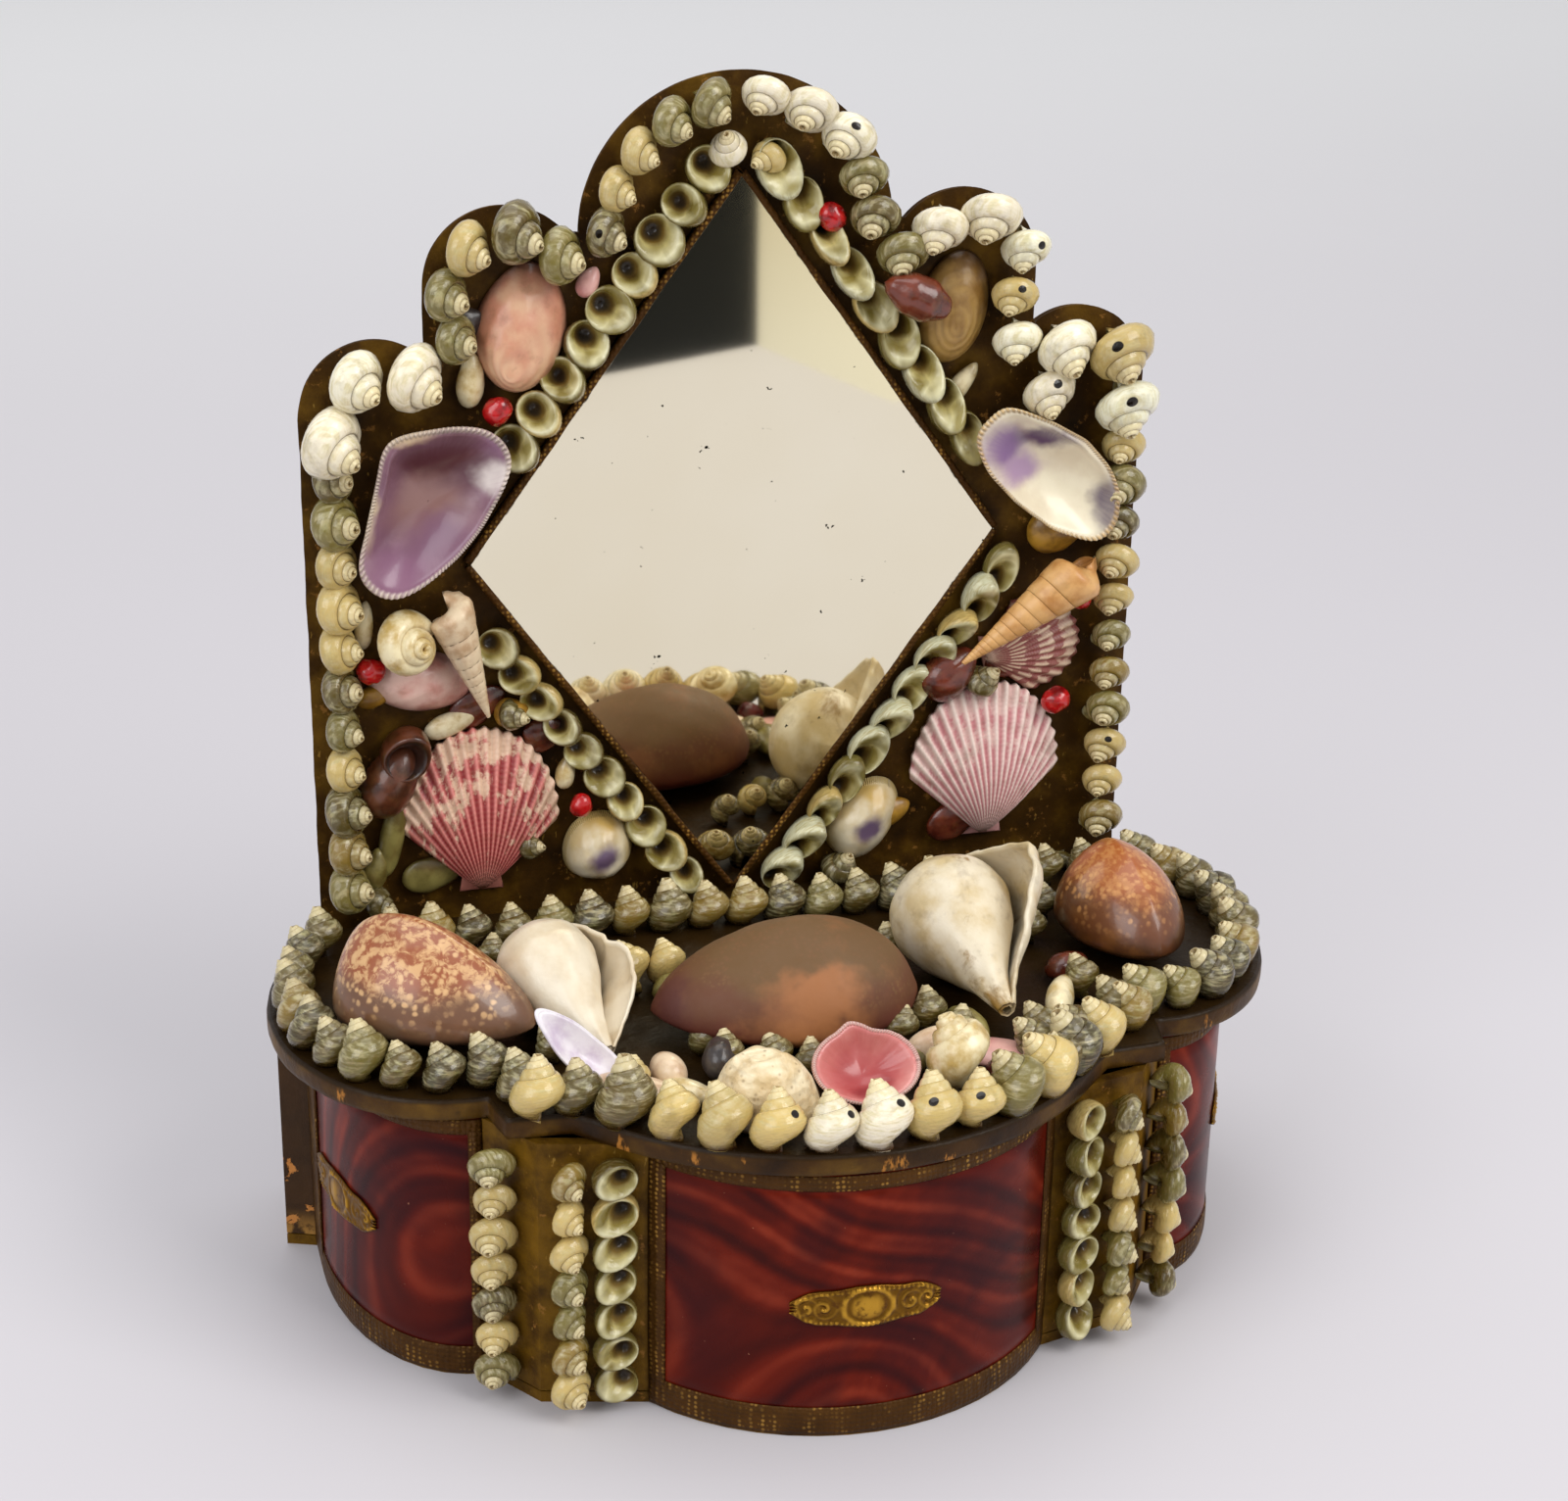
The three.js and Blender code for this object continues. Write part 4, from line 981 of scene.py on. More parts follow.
def lid_rows(pearl):
    """Rows round the rim of the lid and one across its back."""
    lobe = arc(76, -41, 30.4, 46, -98, 24)
    lobe = [(x, -41 + (y + 41) * 39.4 / 30.4) for x, y in lobe]
    lobe_row = spaced(lobe + [(66.2, -87.2)], 12)
    corner = (56.1, -95.7)
    front = arc(0, -56.6, 65.6, -46, -134, 24)
    front_row = spaced([corner] + front + [(-corner[0], corner[1])], 13)
    back_row = spaced([(-82, -17), (44, -19.5)], 15)
    runs = {
        "lid_row_left": [(flipped(lobe_row), 118, 54, "moss", 0)],
        "lid_row_front": [(front_row[:4], 150, 50, "olive", 0), (front_row[4:9], 96, 60, "white", 0.95),
                          (front_row[9:11], 110, 54, "front", 0), (front_row[11:], 110, 62, "olive", 0)],
        "lid_row_right": [(lobe_row, 150, 48, "moss", 0)],
        "lid_row_back": [(back_row, 110, 64, "moss", 0.1)],
    }
    for name, parts in runs.items():
        heap = Heap()
        for places, aim, lean, palette, drilled in parts:
            row(heap, LID, places, 0, lean, palette, size=1.4, spread=16, aim=aim, kind="cone", drilled=drilled,
                sink=0.2)
        ship(heap.build(name.replace("lid_row", "lid_shells"), pearl), name)


def loose_shells(pearl):
    """Small shells that fill the lid between the large ones and the gaps of the board."""
    olive, cream, white = "olive", "front", "white"
    lid = [(-25, -78.4, 9.5, 100, 55, olive), (-23.5, -87.3, 9, 80, 50, olive), (-13.7, -90, 9, 120, 50, olive),
           (-7.1, -94, 8.5, 90, 55, olive), (-34.9, -46, 11, 120, 40, cream), (-26.2, -45, 10, 110, 40, cream),
           (23.7, -47, 9, 100, 55, olive), (16, -46, 8, 100, 45, cream), (40, -97.4, 10, 160, 45, olive),
           (45, -104, 9.5, 150, 40, olive), (38, -109, 9.5, 150, 45, olive), (50.6, -93.6, 10, 150, 45, olive),
           (15.2, -84.5, 9, 70, 50, olive), (22.8, -79.5, 9.5, 100, 50, olive), (27, -88, 9, 60, 50, olive),
           (44, -90, 9, 140, 50, olive), (63, -84, 10, 140, 45, olive), (60, -72, 9.5, 120, 45, olive),
           (-57.4, -74, 8, 120, 50, olive), (-64.5, -96.4, 12.5, 100, 70, cream), (-43.9, -92, 8, 90, 50, cream),
           (73.2, -15.1, 9, 100, 60, olive), (82.8, -13.9, 9, 100, 60, olive), (61, -18, 9, 100, 60, olive),
           (52, -17, 8.5, 100, 60, olive), (-62, -30, 8, 90, 60, olive), (-50, -36, 8, 90, 60, olive),
           (66, -33, 8, 100, 60, olive), (59, -44, 8, 100, 60, olive), (8, -42, 8, 90, 60, olive)]
    board = [(-3.8, 241, 9, 100, 40, white), (5, 238.2, 8.5, 200, 30, cream), (-82.4, 73.1, 8, 0, 40, olive),
             (-51.4, 116.2, 7.5, 0, 40, olive), (79.7, 65.9, 10, 200, 40, olive),
             (25.4, 71.6, 9, 60, 30, olive), (58.7, 115.7, 9, 60, 30, olive), (-48, 84, 7, 0, 40, olive)]
    for name, surface, places in (("lid_loose_shells", LID, lid), ("board_loose_shells", BOARD, board)):
        heap = Heap()
        for u, v, width, aim, lean, palette in places:
            single(heap, surface, (u, v), width, aim, lean, palette)
        ship(heap.build(name, pearl))


def pilaster_face(start, end):
    """The face of a pilaster between two corners of its plan, and its width."""
    length = math.hypot(end[0] - start[0], end[1] - start[1])
    ax, ay = (end[0] - start[0]) / length, (end[1] - start[1]) / length
    base = (start[0] + ay * GAP, BOARD_Y + start[1] - ax * GAP, 0)
    return face(base, (ax, ay, 0), (0, 0, 1), (ay, -ax, 0)), length


def pilaster_rows(pearl):
    """Columns of small shells on the two faces of each corner pilaster."""
    root, tip, front = (74, -85), (65, -98), (43, -103.5)
    m = lambda p: (-p[0], p[1])
    top, bottom = WALL_TOP - 6, 7
    for name, start, end, shares in (
            ("pilaster_row_left_side", m(root), m(tip), (0.5,)),
            ("pilaster_row_left_front", m(tip), m(front), (0.29, 0.69)),
            ("pilaster_row_right_front", front, tip, (0.29, 0.69)),
            ("pilaster_row_right_side", tip, root, (0.5,))):
        surface, length = pilaster_face(start, end)
        heap = Heap()
        for k, share in enumerate(shares):
            places = spaced([(length * share, top), (length * share, bottom)], 7)
            open_side = k == 1 and "left" in name or k == 0 and "right_front" in name
            if open_side:
                row(heap, surface, places, 0, 12, "nacre", spread=14, aim=200, kind="cup", size=1.14)
            else:
                row(heap, surface, places, 0, 44, "mixed", spread=14, aim=-40, size=1.36)
        ship(heap.build(name.replace("pilaster_row", "pilaster_shells"), pearl), name)


def ship(obj, *nodes):
    """The piece rides on the box and stands for its CAD nodes."""
    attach(obj, "root")
    if nodes:
        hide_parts(*nodes)
    return obj


# Single shells

def curve_outline(points, steps=26):
    """Outline through a few points round a centre, as a function of the angle."""
    p = np.array(points, float)
    step = np.linspace(0, 1, 12, endpoint=False)[None, :, None]
    p = (p[:, None] + step * (np.roll(p, -1, 0) - p)[:, None]).reshape(-1, 2)
    a = np.arctan2(p[:, 1], p[:, 0])
    order = np.argsort(a)
    a, r = a[order], np.hypot(p[:, 0], p[:, 1])[order]
    a, r = np.concatenate([a - TURN, a, a + TURN]), np.tile(r, 3)
    def outline(angle):
        reach = np.interp(angle, a, r)
        for _ in range(steps):
            reach = (np.roll(reach, 1) + 2 * reach + np.roll(reach, -1)) / 4
        return np.stack([np.cos(angle) * reach, np.sin(angle) * reach], 1)
    return outline


CLAM_LEFT = [(-9, 15.6), (-4.9, 16.8), (4.7, 17.7), (10.5, 17.1), (14.8, 14.4), (16.9, 9.3), (14.6, 3.4),
             (9.5, -5.4), (4.5, -11.1), (-2.5, -16.7), (-8.4, -19.6), (-12.8, -18.5), (-16, -14.7),
             (-16.6, -11.9), (-14.7, -4.7), (-11.9, 7.1), (-10.5, 13.4)]
CLAM_RIGHT = [(-17.8, 10.3), (-11.3, 16.3), (-0.1, 11.9), (8.4, 7.1), (14.4, 0.2), (16.8, -5.4),
              (16.9, -12.6), (12.7, -17.2), (1.3, -13.1), (-7.4, -6.5), (-14.4, 1.0), (-17.4, 7.6)]


def clam(outline, depth, hinge_side):
    """Open clam valve: deep bowl, thick toothed edge and a ridge along its hinge."""
    def lift(rho, a, x, y):
        bowl = depth * rho ** 2.1
        lip = -0.1 * depth * np.exp(-((rho - 0.98) / 0.04) ** 2)
        off = (a - math.radians(hinge_side) + math.pi) % TURN - math.pi
        hinge = 1.3 * np.exp(-((rho - 0.86) / 0.05) ** 2) * np.exp(-(off / 0.75) ** 2)
        teeth = 0.28 * np.cos(a * 120) * np.exp(-((rho - 1) / 0.03) ** 2) * (1 - np.exp(-(off / 1.1) ** 2))
        return bowl + lip + hinge + teeth + 1.2 + 0.15 * ripple(x, y, 6, 3)
    return polar(curve_outline(outline), lift, 34, 240, (0, 0), 1.2)


def whelk(length, radius, flare, lip_line, seed=0):
    """Pear whelk on +X: low spire at the tail, full body whorl, long canal, and a broken lip that stands off.
    lip_line gives how far the lip stands off at even steps from the spire to the tip."""
    rows, around = 72, 84
    t = np.linspace(0, 1, rows)
    a = np.linspace(0, TURN * 1.12, around)
    body = np.interp(t, [0, 0.06, 0.13, 0.22, 0.34, 0.48, 0.62, 0.78, 0.9, 1.0],
                     [0.02, 0.34, 0.72, 0.94, 1.0, 0.86, 0.6, 0.34, 0.22, 0.13])
    for _ in range(2):
        body[1:-1] = (body[:-2] + 2 * body[1:-1] + body[2:]) / 4
    share = a / TURN
    step = 1 + 0.16 * (share - 1)
    lip = np.exp(-((share - 1.12) / 0.085) ** 2) * flare
    mouth = np.interp(t, np.linspace(0, 1, len(lip_line)), lip_line)
    mouth[2:-2] += (mouth[2:-2] > 0.1) * 0.07 * ripple(t[2:-2] * 60, 0 * t[2:-2], 2.2, seed)
    r = body[:, None] * step[None, :] * radius + lip[None, :] * mouth[:, None] * radius
    wall = 0.06 * radius * ripple(t[:, None] * 30, a[None, :] * 8, 5, seed)
    r = np.maximum(r + wall * 0.4, 0.1)
    x = (t[:, None] - 0.5) * length + 0 * r
    outer = np.stack([x, r * np.cos(a)[None, :], r * np.sin(a)[None, :]], 2)
    inner_r = np.maximum(r - 0.9, 0.05)
    inner = np.stack([x, inner_r * np.cos(a)[None, :], inner_r * np.sin(a)[None, :]], 2)
    ray = np.zeros_like(outer)
    ray[..., 0], ray[..., 1] = t[:, None], share[None, :]
    dark = ray.copy()
    dark[..., 2] = 1
    n = rows * around
    faces = [grid_faces(rows, around), grid_faces(rows, around, flip=True) + n]
    i = np.arange(rows - 1)
    for column in (0, around - 1):
        a0, a1 = i * around + column, (i + 1) * around + column
        faces.append(np.stack([a0, a1, a1 + n, a0 + n], 1))
    j = np.arange(around - 1)
    for start in (0, (rows - 1) * around):
        faces.append(np.stack([start + j, start + j + 1, start + j + 1 + n, start + j + n], 1))
    return (np.concatenate([outer.reshape(-1, 3), inner.reshape(-1, 3)]), np.concatenate(faces),
            np.concatenate([ray.reshape(-1, 3), dark.reshape(-1, 3)]))


def turret(length, width, growth, bulge, ribs=0, rib=0.0):
    """Long auger with its point along +X."""
    turns = math.log(0.08) / -math.log(growth)
    form = coil(1.0, growth, turns, bulge, steps=24, ribs=ribs, rib=rib, rim_at=0.92)
    return settled(scaled(form, length, width), -2, MOUTH_UNDER + turns * 360)


def globe(width, height=0.8, lean=60, roll=0):
    """A round snail shell, its mouth hidden under it."""
    turns = 3.1
    form = scaled(coil(height, 1.75, turns, 0.085, steps=26), None, width)
    return settled(form, lean, MOUTH_UNDER + turns * 360 + roll)


def seed_form(size, seed):
    return settled(egg(size, size * 0.92, size * 0.86, 0.1, 0.5, seed, 0.12, 18, 20))


def singles(looks):
    """Every larger shell: name, form, surface, place, heading, lift, look and CAD nodes that it stands for."""
    olive_turn = settled(spindle([(-0.5, 0), (-0.42, 0.5), (-0.15, 0.95), (0.15, 0.9), (0.42, 0.4), (0.5, 0)],
                                 17, 5.2))
    things = [
        ("clam_left_shell", clam(CLAM_LEFT, 7.5, 150), BOARD, (-68.5, 167), 0, 2.0, "clam_left", ["clam_left"]),
        ("clam_right_shell", clam(CLAM_RIGHT, 6.5, 50), BOARD, (70.2, 166.5), 0, 4.2, "clam_right",
         ["clam_right"]),
        ("auger_left_shell", turret(31, 11, 1.2, 0.014, 14, 0.07), BOARD, (-62, 132.3), -72, 2.6, "cream_ribbed",
         ["auger_left"]),
        ("auger_right_shell", turret(39, 13, 1.17, 0.014), BOARD, (67, 134), 217, 5.5, "tan", ["auger_right"]),
        ("globe_snail_shell", globe(15, 0.9), BOARD, (-75, 137), 20, 0, "cream", ["globe_snail"]),
        ("pink_valve", dome(22, 14, 4.8, 2, [(0, 50, 0.08)], rough=0.3), BOARD, (-72, 125), -8, 0, "blush",
         ["pink_shell"]),
        ("brown_whelk_shell", joined(moved(cup(0.62, 0.06, 0.86), scale=(12.5, 12.5, 15)),
                                     moved(settled(egg(19, 13, 10, 0.4)), shift=(-7, -0.5, 0))), BOARD, (-76, 109.5), 62, 0, "brown",
         ["brown_whelk"]),
        ("scallop_left_shell", fan(40, 39, 8, 20, 1, ears=0.26), BOARD, (-59, 93), 90, 0, "crimson", ["scallop_left"]),
        ("scallop_right_shell", fan(39, 39.5, 8, 20, 2, ears=0.26), BOARD, (61, 94.5), 90, 0, "mauve", ["scallop_right"]),
        ("scallop_small_shell", fan(24, 25, 4.2, 13, 3, 24, 6, 0.6), BOARD, (71, 122.5), 12, 0, "maroon",
         ["scallop_small"]),
        ("slipper", dome(27, 19.5, 8, 4, [(10, 30, 0.1), (150, 40, -0.08)], peak=(-0.3, 0.1), rough=0.5), BOARD,
         (-48, 202.4), 75, 0, "peach", ["slipper_shell"]),
        ("limpet_shell", dome(24.5, 15.8, 5.2, 5, [(0, 40, 0.05)], rough=0.2), BOARD, (49, 202.8), 78, 0, "sand",
         ["limpet_right"]),
        ("olive_shell", olive_turn, BOARD, (37.5, 208.5), 155, 6.2, "chestnut", ["olive_seed"]),
        ("oyster_left_shell", dome(17, 15.5, 7.6, 6, [(200, 30, -0.12), (60, 40, 0.06)], rough=0.5), BOARD,
         (-31.8, 80.7), 60, 0, "marked", ["oyster_left"]),
        ("oyster_right_shell", dome(22, 15, 6.8, 7, [(170, 30, -0.1)], rough=0.4), BOARD, (31.3, 81.5), 55, 0,
         "marked", ["oyster_right"]),
        ("cowrie_left_shell", settled(egg(44, 32, 28, 0.35, seed=1, peak=1.5, hump=0.22)), LID, (-78.8, -59.2), -36, 0, "cowrie",
         ["cowrie_left"]),
        ("whelk_left_shell", settled(whelk(41, 12.4, 0.62, (0, 0, 0, 0.2, 0.8, 1, 1, 0.6, 0), 1), -14, -12), LID, (-50.6, -62.5), -75, 0,
         "porcelain", ["whelk_left"]),
        ("shell_sliver_piece", settled(moved(dish(21, 10, 3, 8, [(180, 26, 0.3), (90, 40, -0.25)], deep=1.4,
                                                  thickness=0.9), (38, 42, 0))), LID, (-53.5, -86.5), -18, 0,
         "lilac", ["shell_sliver"]),
        ("nut_cowrie_shell", settled(egg(56, 38, 26, 0.2, seed=3, rough=0.03, peak=1.25, blunt=1.0, hump=0.1)), LID, (-6.5, -72), 176, 0,
         "nut", ["nut_cowrie"]),
        ("whelk_right_shell", settled(whelk(48, 15.4, 0.62, (0, 0, 0.3, 0.95, 1, 0.9, 0.65, 0.25, 0), 2), -14, 12), LID, (38.6, -62.7), -87, 0,
         "stained", ["whelk_right"]),
        ("cowrie_right_shell", settled(egg(36, 29.5, 25, 0.3, seed=5, peak=1.4, hump=0.1)), LID, (78, -51.5), -85, 0, "cowrie_dark",
         ["cowrie_right"]),
        ("beige_cowrie_shell", settled(egg(10.5, 7.6, 7, 0.2, 0.4)), LID, (-36, -89), 100, 0, "beige",
         ["beige_cowrie"]),
        ("beige_olive_shell", settled(egg(17, 8.6, 8.4, 0.35, 0.45)), LID, (21.5, -92.5), 20, 0, "beige",
         ["beige_olive"]),
        ("rough_cockle_shell", dome(23, 18, 12.5, 9, [(80, 30, 0.06)], rough=0.8, steep=3.0), LID, (-19.5, -105.5), 0, 0,
         "pitted", ["rough_cockle"]),
        ("pink_bowl_shell", settled(moved(dish(22, 17, 6, 10, [(96, 12, 0.16), (70, 10, -0.06)], 26, 0.1, 0.1),
                                          (36, 0, 0))), LID, (1.5, -104.5), 0, 1.5, "bowl", ["pink_bowl"]),
        ("ball_snail_shell", globe(15, 1.0, 55), LID, (20.5, -105.5), 130, 0, "cream", ["ball_snail"]),
    ]
    for k, (name, form, surface, (u, v), heading, lift, look, nodes) in enumerate(things):
        heap = Heap()
        heap.add(form, on(surface, u, v, heading, lift), seed=0.0)
        ship(heap.build(name, looks[look]), *nodes)


def bits(looks):
    """Small broken shells, beads and slips of shell glued in the gaps: place, size, heading, lift and look."""
    board = [(-58.9, 192.9, 12, 6.5, 5.5, 84, 0, "cream"), (-33.2, 212.9, 7, 5, 5, 60, 0, "pink"),
             (-78.8, 89.5, 22, 6, 4, 78, 0, "leaf"), (-83.5, 139.2, 11, 4.5, 4, 84, 0, "cream"),
             (-81.5, 122.6, 9, 5.5, 4, 20, 0, "ochre"), (51.5, 186, 11, 5, 4, 52, 0, "cream"),
             (50.9, 117.5, 15, 12, 9, 40, 0, "chestnut"), (76, 151, 15, 12, 7, 20, 0, "ochre"),
             (-64.8, 114.6, 13, 6, 4, 20, 0, "oyster"), (-51.4, 116.2, 8, 7.5, 6, 0, 0, "ochre"),
             (-39.3, 100.3, 8, 5, 4, 80, 0, "cream"), (-83, 81, 10, 6, 5, 80, 0, "leaf"),
             (37.1, 83, 12, 8, 5, 20, 0, "ochre"), (55, 80, 16, 10, 4, 30, 0, "chestnut"),
             (-44, 110, 10, 9, 3, 20, 0, "chestnut"), (-70, 78, 14, 9, 3, 10, 0, "leaf"),
             (66, 118, 12, 8, 3, 0, 0, "chestnut"), (-59, 118, 14, 9, 3, 30, 0, "chestnut"),
             (-47, 222, 6, 5, 4, 0, 0, "mussel"), (-60, 205, 9, 8, 4, 20, 0, "mussel")]
    lid = [(-24.4, -87.5, 13, 8, 9, 70, 0, "mussel"), (33.6, -95.5, 19, 12, 4, -20, 0, "pink"),
           (30.9, -104.5, 7, 6, 6, 10, 0, "wine"), (52, -81.5, 17, 6.5, 7, 64, 3, "cream"),
           (-44.5, -94.5, 19, 10, 6, -24, 0, "beige"), (-33.9, -97.4, 13, 8, 5, -30, 0, "cream"),
           (14.5, -96, 9, 7, 6, 30, 0, "leaf"), (30, -84, 14, 8, 7, 100, 0, "leaf"),
           (46, -97.5, 10, 8, 6, 20, 0, "leaf"), (61, -62, 12, 8, 6, 30, 0, "chestnut"),
           (-27, -52, 10, 7, 6, 60, 0, "leaf"), (22, -56, 8, 6, 5, 60, 0, "leaf")]
    for name, surface, places in (("board_bits", BOARD, board), ("lid_bits", LID, lid)):
        heaps = {}
        for k, (u, v, length, width, height, heading, lift, look) in enumerate(places):
            form = settled(egg(length, width, height, 0.35, 0.4, k, 0.05, 26, 28))
            heaps.setdefault(look, Heap()).add(form, on(surface, u, v, heading, lift), seed=k)
        for look, heap in heaps.items():
            ship(heap.build(name + "_" + look, looks[look]))


def shell_looks():
    c = colour
    return {
        "clam_left": clam_finish("clam_left_inside",
                                 [(2, 10, 13, 9, c(86, 42, 50)), (-1, -1, 10, 8, c(150, 112, 106)),
                                  (3, -9, 11, 7, c(126, 84, 108)), (-9, -15, 9, 6, c(134, 88, 116)),
                                  (15, 14, 6, 5, c(124, 80, 110)), (14, 6, 5, 4, c(236, 226, 218)),
                                  (-14.5, 5, 2.6, 13, c(228, 208, 160)), (-8, 17.5, 9, 2.4, c(216, 192, 142))],
                                 c(126, 88, 104), c(156, 120, 134), c(226, 208, 190)),
        "clam_right": clam_finish("clam_right_inside",
                                  [(-11, 6, 8, 7, c(132, 98, 142)), (15, -9, 3.6, 8, c(74, 52, 86)),
                                   (0, 8, 8, 3.4, c(86, 60, 96)), (-6, 0, 6, 4, c(170, 140, 168))],
                                  c(226, 212, 184), c(238, 228, 200), c(214, 176, 116)),
        "cream_ribbed": plain_shell_finish("auger_cream", c(228, 206, 172), c(196, 160, 122), 0.4, 0.1, 0.2, 0, 0.2,
                                           seam=0.5),
        "tan": plain_shell_finish("auger_tan", c(222, 172, 108), c(190, 132, 70), 0.38, 0.15, 0.15, 0, 0.2,
                                  seam=0.6),
        "cream": plain_shell_finish("snail_cream", c(236, 222, 180), c(196, 166, 98), 0.25, 0.3, 0.2, 0, 0.35,
                                    seam=0.35),
        "blush": plain_shell_finish("valve_blush", c(226, 190, 176), c(204, 140, 130), 0.35, 0.2, 0.12, 0),
        "brown": plain_shell_finish("whelk_brown", c(100, 54, 32), c(62, 28, 12), 0.3, 0.3, 0.25, 0, mouth=0.9),
        "crimson": ribbed_finish("scallop_crimson", c(150, 38, 44), c(222, 132, 124), c(236, 206, 176), 0.85, 20),
        "mauve": ribbed_finish("scallop_mauve", c(202, 130, 134), c(244, 218, 208), c(240, 222, 208), 0.5, 20),
        "maroon": ribbed_finish("scallop_maroon", c(136, 60, 58), c(224, 196, 168), c(230, 206, 178), 0.4, 13,
                                0.9),
        "peach": plain_shell_finish("slipper_peach", c(222, 178, 142), c(204, 138, 110), 0.36, 0.2, 0.1, 4, 0.3),
        "sand": plain_shell_finish("limpet_sand", c(176, 140, 76), c(132, 94, 40), 0.42, 0.1, 0.14, 5, 0.5),
        "chestnut": plain_shell_finish("olive_chestnut", c(122, 54, 34), c(70, 26, 16), 0.22, 0.4, 0.2, 4),
        "oyster": plain_shell_finish("oyster_white", c(234, 222, 186), c(200, 176, 120), 0.35, 0.2, 0.22, 0, 0.4),
        "cowrie": speckled_finish("cowrie_orange", c(150, 80, 42), c(112, 76, 52), c(84, 64, 50),
                                  c(214, 170, 118), c(138, 92, 62), worn=0.3, mottled=0.9),
        "porcelain": plain_shell_finish("whelk_white", c(232, 220, 196), c(218, 200, 168), 0.32, 0.2, 0.1, 0, 0.1),
        "lilac": plain_shell_finish("sliver_lilac", c(236, 230, 236), c(206, 190, 210), 0.3, 0.2, 0.15, 0, 0.1),
        "nut": speckled_finish("nut_brown", c(104, 74, 38), c(100, 58, 32), c(94, 40, 28), c(112, 76, 42),
                               c(150, 94, 54), 0.5, 0.0, 0.9, 0.3,
                               marks=[(-4, 16, 11, 4.6, c(156, 100, 56)), (12, 18, 6, 3, c(140, 86, 48)),
                                      (27, 6, 6, 8, c(84, 38, 28)), (2, 22, 26, 2.4, c(84, 30, 26))]),
        "stained": plain_shell_finish("whelk_stained", c(228, 216, 190), c(206, 184, 138), 0.35, 0.15, 0.1, 0, 0.3,
                                      stain=c(150, 116, 54)),
        "cowrie_dark": speckled_finish("cowrie_brown", c(164, 90, 40), c(110, 62, 32), c(56, 35, 22),
                                       c(206, 148, 88), c(146, 92, 40), worn=0.4, mottled=0.5),
        "beige": plain_shell_finish("olive_beige", c(228, 204, 172), c(200, 166, 132), 0.3, 0.25, 0.2, 0, 0.2),
        "pitted": plain_shell_finish("cockle_pitted", c(240, 226, 192), c(216, 190, 142), 0.5, 0.05, 0.2, 6, 0.35,
                                     pores=0.55),
        "leaf": plain_shell_finish("shell_leaf", c(150, 140, 78), c(104, 90, 40), 0.35, 0.2, 0.2, 3, 0.4),
        "ochre": plain_shell_finish("shell_ochre", c(176, 132, 44), c(120, 84, 22), 0.35, 0.2, 0.2, 0, 0.4),
        "mussel": plain_shell_finish("shell_mussel", c(70, 62, 58), c(40, 34, 34), 0.3, 0.3, 0.2, 4, 0.3),
        "wine": plain_shell_finish("seed_wine", c(104, 30, 34), c(60, 12, 18), 0.2, 0.4, 0.3, 0, 0.2),
        "pink": plain_shell_finish("shell_pink", c(228, 176, 166), c(206, 136, 132), 0.3, 0.2, 0.12, 0, 0.1),
        "bowl": clam_finish("bowl_pink", [(0, 0, 9, 8, c(166, 66, 66)), (1, -3, 5, 4, c(134, 44, 46))],
                            c(206, 116, 112), c(226, 158, 150), c(240, 208, 196)),
        "marked": clam_finish("oyster_marked", [(0, 0, 4.6, 3.4, c(100, 80, 104)), (7, 3, 3, 5, c(196, 160, 80))],
                              c(220, 208, 180), c(200, 178, 128), c(200, 172, 104)),
    }


# Card, paper and foil

def wall_line(kind):
    """Outer line of a curved panel of the box, seen from above."""
    if kind == "front":
        start = math.degrees(math.atan2(-103.5 + 70.5, 43))
        return arc(0, -70.5, 54.4, start, -180 - start, 49)
    lobe = [(74 + 28.5 * math.cos(math.radians(t)), -38 + 47 * math.sin(math.radians(t)))
            for t in np.linspace(0, -90, 33)]
    line = [(102.5, -26.5)] + lobe
    return line if kind == "right" else [(-x, y) for x, y in line][::-1]


def offset_line(line, distance):
    """The line moved sideways, to its left as it runs."""
    p = np.array(line, float)
    step = np.gradient(p, axis=0)
    step /= np.linalg.norm(step, axis=1)[:, None]
    return p + distance * np.stack([-step[:, 1], step[:, 0]], 1)


def ribbon(line, low, high, thickness, bulge=0.25, rows=7, back_at=0.05):
    """A paper strip that stands on a wall: slightly proud, with soft edges."""
    z = np.linspace(low, high, rows)
    share = np.linspace(-1, 1, rows)
    proud = thickness + bulge * (1 - share ** 4)
    front = np.stack([np.column_stack([offset_line(line, p), np.full(len(line), h)])
                      for h, p in zip(z, proud)])
    back = np.stack([np.column_stack([offset_line(line, back_at), np.full(len(line), h)])
                     for h in (high, low)])
    points = np.concatenate([front, back])
    ray = np.zeros_like(points)
    rows, columns = points.shape[:2]
    faces = grid_faces(rows, columns, close_rows=True)
    ends = []
    for column, flip in ((0, True), (columns - 1, False)):
        ring = np.arange(rows) * columns + column
        half = rows // 2
        i = np.arange(half - 1) if rows % 2 == 0 else np.arange(half)
        quads = np.stack([ring[i], ring[i + 1], ring[rows - 2 - i], ring[rows - 1 - i]], 1)
        ends.append(quads[:, ::-1] if flip else quads)
    form = points.reshape(-1, 3) + np.array([0, BOARD_Y, 0])
    return form, np.concatenate([faces, *ends]), ray.reshape(-1, 3)


